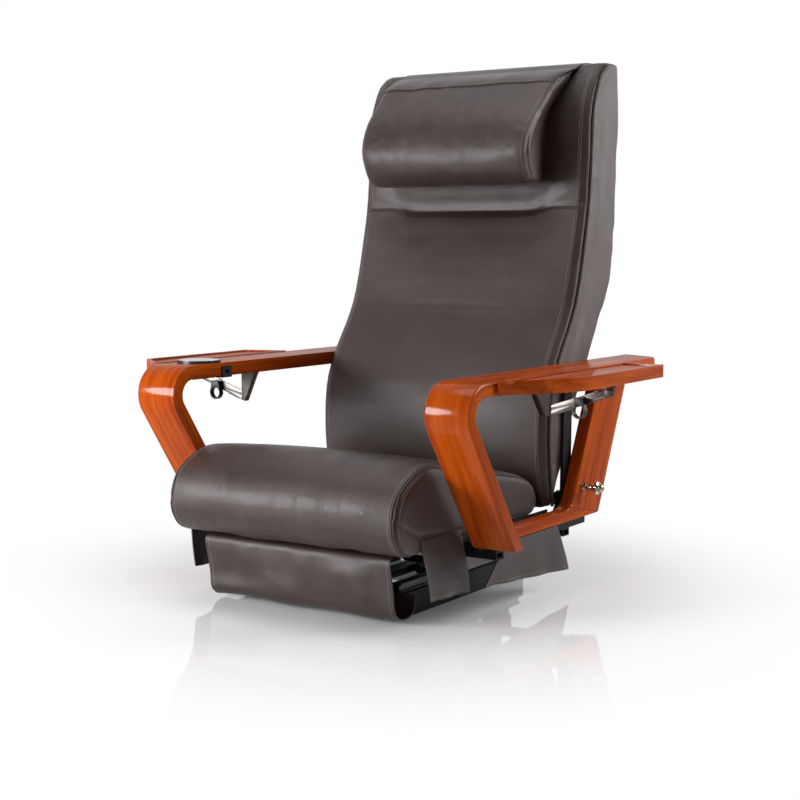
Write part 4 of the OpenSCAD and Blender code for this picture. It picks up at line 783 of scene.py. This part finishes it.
def seat():
    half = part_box("seat_cushion")[1].x
    obj = copy_of("seat_cushion", "seat_cushion_leather")
    fill(obj, SEAT_VOXEL, seat_held, SEAT_CAP)
    ripple(obj, ROLL_PULLS,
           lambda p, n: ease((-0.20 - p[:, 1]) / 0.08) * inside(p, SEAT_SLACK_X, 0.05))
    ripple(obj, SEAT_TOP_PULLS,
           lambda p, n: ease((p[:, 1] + 0.22) / 0.06) * ease(n[:, 2] / 0.4)
           * inside(p, SEAT_SLACK_X, 0.05))
    tree = surface(obj)
    seams = [seat_line(tree, s * (half - SEAT_SEAM_IN)) for s in SIDES]
    fine = [np.array(a) + (np.array(b) - np.array(a)) * t
            for a, b in zip(TUCK_LINE, TUCK_LINE[1:]) for t in np.arange(0, 1, 0.1)]
    tucks = [trace_side(tree, s, fine) for s in SIDES]
    for row in seams:
        press(obj, row, *SEAT_SEAM)
    for row in tucks:
        press(obj, row, *SEAT_TUCK)
    tree = surface(obj)
    for row, side in zip(seams, SIDE_NAMES):
        welt("seat_piping_" + side, settled(tree, row), SEAT_PIPING, "carriage", SEAT_PIPING_LIFT)
    rows = [seat_line(tree, s * (half - SEAT_SEAM_IN - d)) for s in SIDES
            for d in SEAT_STITCHES_IN]
    rows += [panel_row(tree, row, s, END_STITCHES_IN) for row, s in zip(seams, SIDES)]
    stitches("seat_stitching", rows, "carriage")
    smooth(obj, SMOOTH_PADDED)
    finish_piece(obj, "carriage", "leather", "seat_cushion")


def settled(tree, row):
    """A row dropped onto the skin after it was pressed."""
    found = []
    for place, normal in row:
        near, way, _, _ = tree.find_nearest(place)
        if near is not None:
            found.append((near, way))
    return found


def panel_row(tree, row, s, inset):
    """The row on the end panel, inset towards the middle of the roll."""
    found = []
    for place, normal in row:
        inward = Vector((0, ROLL_Y - place.y, ROLL_Z - place.z))
        if place.y > ROLL_Y:
            inward = Vector((0, 0, -1))
        spot = Vector(place) + inward.normalized() * inset
        found += trace_side(tree, s, [(spot.y, spot.z)])
    return found


# Backrest pad and its side and rear cover

HEAD_SEAM_Z = 0.762
HEAD_SEAM_DROP = 0.016
HEAD_SEAM_X = 0.268
HEAD_SUNK, HEAD_PROUD = 0.0070, 0.003
WING_IN, WING_OUT = 0.145, 0.200
BACK_END_BAND = (0.024, 0.012)
COVER_END_BAND = (0.02, 0.01)
BACK_SEAM_IN = 0.011
BACK_SEAM_FOOT, BACK_SEAM_TOP = 0.19, 1.04
BACK_STITCHES_IN = (0.005, 0.0098)
BACK_PIPING = 0.0038
BACK_PIPING_LIFT = -0.1
SIDE_STITCHES_IN = 0.010
# How near the pad's and the cover's corners lie where the two meet, and how far out they are
RIM_MEETS = 0.0012
RIM_OUT = 0.0004


def centre_part(x):
    """1 in the middle panel of the head, 0 on the wings."""
    return 1 - ease((np.abs(x) - WING_IN) / (WING_OUT - WING_IN))


def head_seam_height(x):
    return HEAD_SEAM_Z - HEAD_SEAM_DROP * centre_part(x)


def back_line(tree, x):
    zs = np.arange(BACK_SEAM_FOOT, BACK_SEAM_TOP, 0.008)
    return trace_front(tree, [x] * len(zs), zs)


def head_seam(tree):
    xs = np.arange(-HEAD_SEAM_X, HEAD_SEAM_X + 0.0001, 0.006)
    return trace_front(tree, xs, head_seam_height(xs))


def back_held(p, n):
    """The pad is held at its side seams, at the seam below the head and behind."""
    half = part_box("back_cushion")[1].x
    sides = near_ends(p, half, *BACK_END_BAND)
    seam = 1 - ease(np.abs(p[:, 2] - head_seam_height(p[:, 0])) / 0.012)
    behind = ease((n[:, 1] + 0.1) / 0.3)
    foot = ease((0.24 - p[:, 2]) / 0.03)
    return np.maximum.reduce([sides, seam, behind, foot])


def sink_head_panel(obj):
    """The middle panel of the head lies behind the pad's upper edge."""
    points, normals = points_of(obj), normals_of(obj)
    middle = centre_part(points[:, 0])
    above = points[:, 2] - head_seam_height(points[:, 0])
    sunk = ease(above / 0.007) * (1 - ease((above - 0.04) / 0.10)) * middle
    proud = ease((above + 0.05) / 0.045) * (1 - ease(above / 0.006)) * middle
    front = ease(-normals[:, 1] / 0.4)
    points[:, 1] += (HEAD_SUNK * sunk - HEAD_PROUD * proud) * front
    place_points(obj, points)


def rim_line(s):
    """Where the pad's rim meets the cover on one side, from the foot to the top."""
    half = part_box("back_cushion")[1].x
    pad = np.array([v.co for v in NODES["back_cushion"].data.vertices])
    cover = np.array([v.co for v in NODES["back_cover"].data.vertices])
    pad, cover = (np.unique(np.round(points[points[:, 0] * s > half - RIM_OUT], 5), axis=0)
                  for points in (pad, cover))
    near = [p for p in pad if np.min(np.linalg.norm(cover - p, axis=1)) < RIM_MEETS]
    return sorted(near, key=lambda p: p[2])


def back_pad():
    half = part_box("back_cushion")[1].x
    obj = copy_of("back_cushion", "back_cushion_leather")
    fill(obj, BACK_VOXEL, back_held, BACK_CAP, BACK_PRESSURE)
    sink_head_panel(obj)
    ripple(obj, PAD_PULLS,
           lambda p, n: ease(-n[:, 1] / 0.5) * inside(p, 0.25, 0.05) * ease((0.70 - p[:, 2]) / 0.1))
    tree = surface(obj)
    press(obj, head_seam(tree), *HEAD_SEAM)
    for row in [back_line(tree, s * (half - BACK_SEAM_IN)) for s in SIDES]:
        press(obj, row, *RIM_SEAM)
    tree = surface(obj)
    rows = [back_line(tree, s * (half - BACK_SEAM_IN - d)) for s in SIDES for d in BACK_STITCHES_IN]
    stitches("back_edge_stitching", rows, "backrest")
    smooth(obj, SMOOTH_PADDED)
    finish_piece(obj, "backrest", "leather", "back_cushion")


def cover_free(p, n):
    """1 on the outer sides and the rear of the cover."""
    outward = n[:, 0] * np.sign(p[:, 0])
    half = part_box("back_cover")[1].x
    sides = ease((outward - 0.3) / 0.3) * near_ends(p, half, *COVER_END_BAND)
    rear = ease((n[:, 1] - 0.2) / 0.3)
    return np.maximum(sides, rear)


def back_cover():
    obj = copy_of("back_cover", "back_cover_leather")
    rims = [rim_line(s) for s in SIDES]
    rim = KDTree(sum(len(row) for row in rims))
    for index, place in enumerate(rims[0] + rims[1]):
        rim.insert(Vector(place), index)
    rim.balance()

    def rim_distance(p):
        return np.array([rim.find(Vector(q))[2] for q in p])

    def side_panel(p, n):
        return ease((n[:, 0] * np.sign(p[:, 0]) - 0.4) / 0.4)

    fill(obj, COVER_VOXEL,
         lambda p, n: np.maximum(1 - cover_free(p, n), 1 - ease((rim_distance(p) - 0.012) / 0.03)),
         COVER_CAP, BACK_PRESSURE)
    # Broad slack in the side panels, and short puckers where they are gathered at the rim
    ripple(obj, SIDE_SLACK,
           lambda p, n: side_panel(p, n) * ease((rim_distance(p) - 0.006) / 0.03))
    ripple(obj, SIDE_PUCKERS,
           lambda p, n: side_panel(p, n)
           * ease((rim_distance(p) - 0.002) / 0.006) * (1 - ease((rim_distance(p) - 0.008) / 0.03))
           * ease((p[:, 2] - 0.6) / 0.3))
    ripple(obj, REAR_SLACK, lambda p, n: ease((n[:, 1] - 0.3) / 0.4))
    tree = surface(obj)
    rows = []
    for s, row, side in zip(SIDES, rims, SIDE_NAMES):
        fine = [Vector(a).lerp(Vector(b), t) for a, b in zip(row, row[1:]) for t in (0, 0.5)]
        way = Vector((s, 0, 0))
        welt("back_piping_" + side, [(spot, way) for spot in fine], BACK_PIPING, "backrest",
             BACK_PIPING_LIFT)
        rows.append(trace_side(tree, s, [(spot.y + SIDE_STITCHES_IN, spot.z) for spot in fine]))
    stitches("side_stitching", rows, "backrest")
    smooth(obj, SMOOTH_PADDED)
    # The cover takes side_leather, whose lighter colour is painted light on its side panels
    finish_piece(obj, "backrest", "side_leather", "back_cover")


# Head pillow, held by a leather flap that lies over the top of the backrest

PILLOW_SEAM_X = 0.212
PILLOW_SEAM_FOOT, PILLOW_SEAM_TOP = 0.805, 1.03
PILLOW_STITCHES = (-0.010, -0.005)
PILLOW_END_BAND = (0.014, 0.010)
# Shares by which the ends draw in at the foot and behind, and how far the belly hangs forward
PILLOW_TAPER = 0.065
PILLOW_ROUND = 0.17
PILLOW_BELLY = 0.034
# The flap's clearance from the skin under it, and its thickness
FLAP_CLEAR = 0.0004
FLAP_THICK = 0.0016


def pillow_drop(z):
    """0 at the pillow's top and 1 at its foot."""
    low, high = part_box("head_pillow")
    return ease((high.z - z) / (high.z - low.z))


def pillow_line(tree, x):
    zs = np.arange(PILLOW_SEAM_FOOT, PILLOW_SEAM_TOP, 0.005)
    return trace_front(tree, x * (1 - PILLOW_TAPER * pillow_drop(zs)), zs)


def pillow_held(p, n):
    """The pillow is held at its end panels, behind, and along its crest under the flap."""
    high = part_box("head_pillow")[1]
    half = high.x * (1 - PILLOW_TAPER * pillow_drop(p[:, 2]))
    ends = near_ends(p, half, *PILLOW_END_BAND)
    behind = ease((n[:, 1] + 0.1) / 0.3)
    crest = ease((p[:, 2] - (high.z - 0.030)) / 0.015)
    return np.maximum.reduce([ends, behind, crest])


def belly(obj):
    """Hangs the pillow forward below its middle, and draws its ends in at the foot and behind."""
    low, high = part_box("head_pillow")
    points = points_of(obj)
    down = pillow_drop(points[:, 2])
    front = ease(((low.y + high.y) / 2 - points[:, 1]) / (high.y - low.y) * 2 + 0.3)
    rear = ease((points[:, 1] - low.y - 0.03) / 0.11) * ease((high.z - 0.02 - points[:, 2]) / 0.09)
    points[:, 0] *= 1 - PILLOW_TAPER * down - PILLOW_ROUND * rear
    points[:, 1] -= PILLOW_BELLY * ease(down / 0.8) * (1 - 0.3 * ease((down - 0.8) / 0.2)) * front
    place_points(obj, points)


def pillow():
    obj = copy_of("head_pillow", "head_pillow_leather")
    belly(obj)
    fill(obj, PILLOW_VOXEL, pillow_held, PILLOW_CAP)
    ripple(obj, PILLOW_PULLS, lambda p, n: inside(p, 0.185, 0.06) * ease(-n[:, 1] / 0.3))
    tree = surface(obj)
    for s in SIDES:
        press(obj, pillow_line(tree, s * PILLOW_SEAM_X), *PILLOW_SEAM)
    tree = surface(obj)
    rows = [pillow_line(tree, s * (PILLOW_SEAM_X + d)) for s in SIDES for d in PILLOW_STITCHES]
    stitches("pillow_stitching", rows, "backrest")
    smooth(obj, SMOOTH_PADDED)
    finish_piece(obj, "backrest", "leather", "head_pillow")


RIM_CREASE_DEG = 50


def creased_subdivision(obj, levels):
    """Rounds the broad faces and keeps the rim of a sheet sharp."""
    edit(obj, bpy.ops.mesh.tris_convert_to_quads)
    mesh = bmesh.new()
    mesh.from_mesh(obj.data)
    layer = mesh.edges.layers.float.get("crease_edge") or mesh.edges.layers.float.new("crease_edge")
    for edge in mesh.edges:
        if len(edge.link_faces) == 2 and edge.calc_face_angle() > math.radians(RIM_CREASE_DEG):
            edge[layer] = 1.0
    mesh.to_mesh(obj.data)
    mesh.free()
    modifier = obj.modifiers.new("rounding", "SUBSURF")
    modifier.levels = modifier.render_levels = levels
    apply_modifiers(obj)


def flutter(obj, way, waves, mask):
    """Both faces of a sheet move together along way by noise."""
    strength, scale = waves
    points = points_of(obj)
    amount = mask(points) * strength
    for index in np.nonzero(np.abs(amount) > 1e-6)[0]:
        place = Vector(points[index] * scale)
        level = noise.fractal(place, 1.0, 2.0, 2, noise_basis="PERLIN_ORIGINAL")
        points[index] += np.array(way) * amount[index] * level
    place_points(obj, points)


def seat_flap(obj, skin, share):
    """Both faces of the flap are drawn onto the skin under it, where share says."""
    tree = surface(skin)
    points, normals = points_of(obj), normals_of(obj)
    amount = share(points)
    for index in np.nonzero(amount > 0)[0]:
        near, way, _, _ = tree.find_nearest(Vector(points[index]))
        outer = float(Vector(normals[index]).dot(way) > -0.2)
        goal = near + way * (FLAP_CLEAR + outer * FLAP_THICK)
        points[index] += (np.array(goal) - points[index]) * amount[index]
    place_points(obj, points)


def pillow_flap():
    obj = copy_of("pillow_flap", "pillow_flap_leather")
    creased_subdivision(obj, 3)
    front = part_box("head_pillow")[1].y - 0.03
    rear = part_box("back_cover")[1].y - 0.02
    seat_flap(obj, bpy.data.objects["head_pillow_leather"],
              lambda p: ease((front - p[:, 1]) / 0.03))
    seat_flap(obj, bpy.data.objects["back_cover_leather"],
              lambda p: ease((p[:, 1] - rear) / 0.015))
    smooth(obj, SMOOTH_SHEET)
    finish_piece(obj, "backrest", "leather", "pillow_flap")


# Front apron and side flaps

APRON_HEM_IN = 0.008
APRON_HEM_FOOT, APRON_HEM_TOP = 0.02, 0.128
APRON_RAY_Y = -0.6
FLAP_HEM_IN = 0.006


def apron():
    obj = copy_of("front_apron", "front_apron_leather")
    creased_subdivision(obj, 3)
    flutter(obj, (0, 1, 0), APRON_WAVES,
            lambda p: ease((p[:, 2] - 0.02) / 0.04) * (1 - ease((p[:, 2] - 0.09) / 0.04)))
    tree = surface(obj)
    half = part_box("front_apron")[1].x
    zs = np.arange(APRON_HEM_FOOT, APRON_HEM_TOP, 0.005)
    rows = [trace_front(tree, [s * (half - APRON_HEM_IN)] * len(zs), zs, APRON_RAY_Y)
            for s in SIDES]
    stitches("apron_stitching", rows, "carriage")
    smooth(obj, SMOOTH_SHEET)
    finish_piece(obj, "carriage", "skirt_leather", "front_apron")


def hem_rows(obj, s):
    """Rows just inside the front, lower and rear edges of a flap that hangs along the side."""
    inset = step = FLAP_HEM_IN
    places = points_of(obj)
    low, high = places.min(0), places.max(0)
    front, rear, foot = [], [], []
    for z in np.arange(low[2] + 2 * inset, high[2] - inset, step):
        across = places[np.abs(places[:, 2] - z) < step, 1]
        front.append((across.min() + inset, z))
        rear.append((across.max() - inset, z))
    for y in np.arange(low[1] + 3 * inset, high[1] - 2 * inset, step):
        under = places[np.abs(places[:, 1] - y) < step, 2]
        foot.append((y, under.min() + inset))
    tree = surface(obj)
    return [trace_side(tree, s, row) for row in (front, foot, rear)]


def side_flap(node, s):
    obj = copy_of(node, node + "_leather")
    creased_subdivision(obj, 2)
    stitches(node + "_stitching", hem_rows(obj, s), "carriage")
    smooth(obj, SMOOTH_SHEET)
    finish_piece(obj, "carriage", "skirt_leather", node)


# Wood: bent planks, boards and trays with rounded, lacquered edges

ARM_BEND_Y, ARM_BEND_Z = -0.262, 0.390
ARM_BEND_R = 0.0435
LEG_DEG = 34.5
UPRIGHT_DEG = 25.2
# Angles round the bend between which the grain follows the flat arm, the bend and the leg
ARM_FROM_DEG, ARM_TO_DEG = 300, 90
# Widths in metres of the rounded edges
EDGE_PLANK, EDGE_RAIL, EDGE_TRAY = 0.005, 0.003, 0.0035
EDGE_BRACE, EDGE_LOOP = 0.0004, 0.0012


def grain_along(obj, function):
    points = points_of(obj)
    layer = obj.data.attributes.new("grain", "FLOAT_VECTOR", "POINT")
    layer.data.foreach_set("vector", np.array([function(p) for p in points]).ravel())


def plank_grain(p):
    """Across the plank, along its bent middle line, and through its thickness."""
    v = (p[1] - ARM_BEND_Y, p[2] - ARM_BEND_Z)
    turn = math.degrees(math.atan2(v[1], v[0]))
    if turn < 0:
        turn += 360
    if turn < ARM_TO_DEG or turn > ARM_FROM_DEG:
        return p[0], v[0], v[1]
    if turn < 180 + LEG_DEG:
        return p[0], -ARM_BEND_R * math.radians(turn - ARM_TO_DEG), math.hypot(*v)
    a = math.radians(LEG_DEG)
    down = v[0] * math.sin(a) - v[1] * math.cos(a)
    out = -v[0] * math.cos(a) - v[1] * math.sin(a)
    return p[0], -ARM_BEND_R * math.radians(ARM_TO_DEG + LEG_DEG) - down, out


GRAIN_SHIFT = 0.37


def straight_grain(p):
    """Along the board, shifted so that it doesn't repeat the plank's figure."""
    return p[0] + GRAIN_SHIFT, p[1], p[2]


def leaning_grain(p):
    a = math.radians(UPRIGHT_DEG)
    return p[0], p[1] * math.sin(a) + p[2] * math.cos(a), p[1] * math.cos(a) - p[2] * math.sin(a)


def rounded(node, name, width, segments=4):
    """A copy of a rigid CAD node with its corners rounded over."""
    obj = copy_of(node, name)
    edit(obj, flattened)
    bevel(obj, width, segments)
    smooth(obj, SMOOTH_RIGID)
    return obj


def wooden(node, body, grain, width):
    obj = rounded(node, node + "_lacquered", width)
    grain_along(obj, grain)
    finish_piece(obj, body, "bent_wood", node)


TRAY_RIGHT_INNER_Y = (-0.268, 0.164)
TRAY_RIGHT_OUTER_Y = (-0.189, 0.127)
TRAY_RIM = 0.009
TRAY_HOLLOW = 0.004


def tray_right():
    """The sitter's right tray, with a slant at each end and a shallow hollow inside its rim."""
    low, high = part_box("tray_right")
    bpy.ops.mesh.primitive_cube_add(size=1, location=(low + high) / 2)
    obj = bpy.context.active_object
    obj.scale = high - low
    settle(obj)
    obj.name = "tray_right_lacquered"
    for vertex in obj.data.vertices:
        ends = TRAY_RIGHT_OUTER_Y if vertex.co.x < (low.x + high.x) / 2 else TRAY_RIGHT_INNER_Y
        vertex.co.y = ends[vertex.co.y > (low.y + high.y) / 2]
    for face in obj.data.polygons:
        face.select = face.normal.z > 0.9
    for part in (obj.data.vertices, obj.data.edges):
        part.foreach_set("select", [False] * len(part))
    bpy.ops.object.mode_set(mode="EDIT")
    bpy.ops.mesh.select_mode(type="FACE")
    bpy.ops.mesh.inset(thickness=TRAY_RIM)
    bpy.ops.mesh.extrude_region_move(TRANSFORM_OT_translate={"value": (0, 0, -TRAY_HOLLOW)})
    bpy.ops.object.mode_set(mode="OBJECT")
    bevel(obj, EDGE_TRAY, 4)
    smooth(obj, SMOOTH_RIGID)
    grain_along(obj, straight_grain)
    finish_piece(obj, "right_tray", "bent_wood", "tray_right")


def rigid(node, width, slot, segments=2):
    obj = rounded(node, node + "_finished", width, segments)
    finish_piece(obj, BODY_OF[node], slot, node)


# Charging pad: a silver face let into its black rim

CHARGER_FACE_SHARE = 0.90
CHARGER_FACE_RISE = 0.0004
CHARGER_FACE_SIDES = 96


def charger_face():
    low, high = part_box("charger_pad")
    radius = (high.x - low.x) / 2
    middle = ((low.x + high.x) / 2, (low.y + high.y) / 2, high.z + CHARGER_FACE_RISE / 2)
    bpy.ops.mesh.primitive_cylinder_add(
        vertices=CHARGER_FACE_SIDES, radius=radius * CHARGER_FACE_SHARE,
        depth=CHARGER_FACE_RISE, location=middle)
    obj = settle(bpy.context.active_object)
    obj.name = "charger_face"
    bevel(obj, CHARGER_FACE_RISE * 0.4, 2)
    smooth(obj, SMOOTH_RIGID)
    finish_piece(obj, "carriage", "charger", finish="charger_face")


# Purse hooks: turned knobs on the uprights

HOOK_STEPS = 48
# Share of the hook's length from the wood, and radius in metres
HOOK_PROFILE = [(0.0, 0.0), (0.0, 0.0098), (0.07, 0.0100), (0.14, 0.0088), (0.24, 0.0078),
                (0.42, 0.0074), (0.56, 0.0078), (0.64, 0.0104), (0.68, 0.0133), (0.76, 0.0134),
                (0.80, 0.0106), (0.82, 0.0076), (0.86, 0.0086), (0.94, 0.0082), (1.0, 0.0048),
                (1.0, 0.0)]


def purse_hook(side, s):
    node = "purse_hook_" + side
    low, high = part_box(node)
    foot = low.x if s > 0 else high.x
    middle = (low + high) / 2
    points = [(foot + s * t * (high.x - low.x), middle.y, middle.z + r) for t, r in HOOK_PROFILE]
    obj = mesh_object(node + "_turned", points, [])
    obj.data.edges.add(len(points) - 1)
    obj.data.edges.foreach_set("vertices", [i + j for i in range(len(points) - 1) for j in (0, 1)])
    edit(obj, lambda: bpy.ops.mesh.spin(steps=HOOK_STEPS, angle=2 * math.pi, center=middle,
                                        axis=(1, 0, 0)),
         lambda: bpy.ops.mesh.select_all(action="SELECT"), merged,
         lambda: bpy.ops.mesh.normals_make_consistent(inside=False))
    smooth(obj, SMOOTH_SHEET)
    finish_piece(obj, "carriage", "knob_metal", node)


seat()
back_pad()
back_cover()
pillow()
pillow_flap()
apron()
charger_face()
wooden("tray_left", "left_tray", straight_grain, EDGE_TRAY)
tray_right()
for side, s in (("left", 1), ("right", -1)):
    for node in ("brace_gusset_", "lower_link_", "upper_link_", "tray_hinge_", "tray_leaf_"):
        rigid(node + side, EDGE_BRACE, "grey_steel")
    rigid("release_loop_" + side, EDGE_LOOP, "black_plastic", segments=3)
    side_flap("front_flap_" + side, s)
    side_flap("rear_flap_" + side, s)
    wooden("armrest_" + side, "carriage", plank_grain, EDGE_PLANK)
    wooden("side_rail_" + side, "carriage", straight_grain, EDGE_RAIL)
    wooden("arm_upright_" + side, "carriage", leaning_grain, EDGE_RAIL)
    purse_hook(side, s)
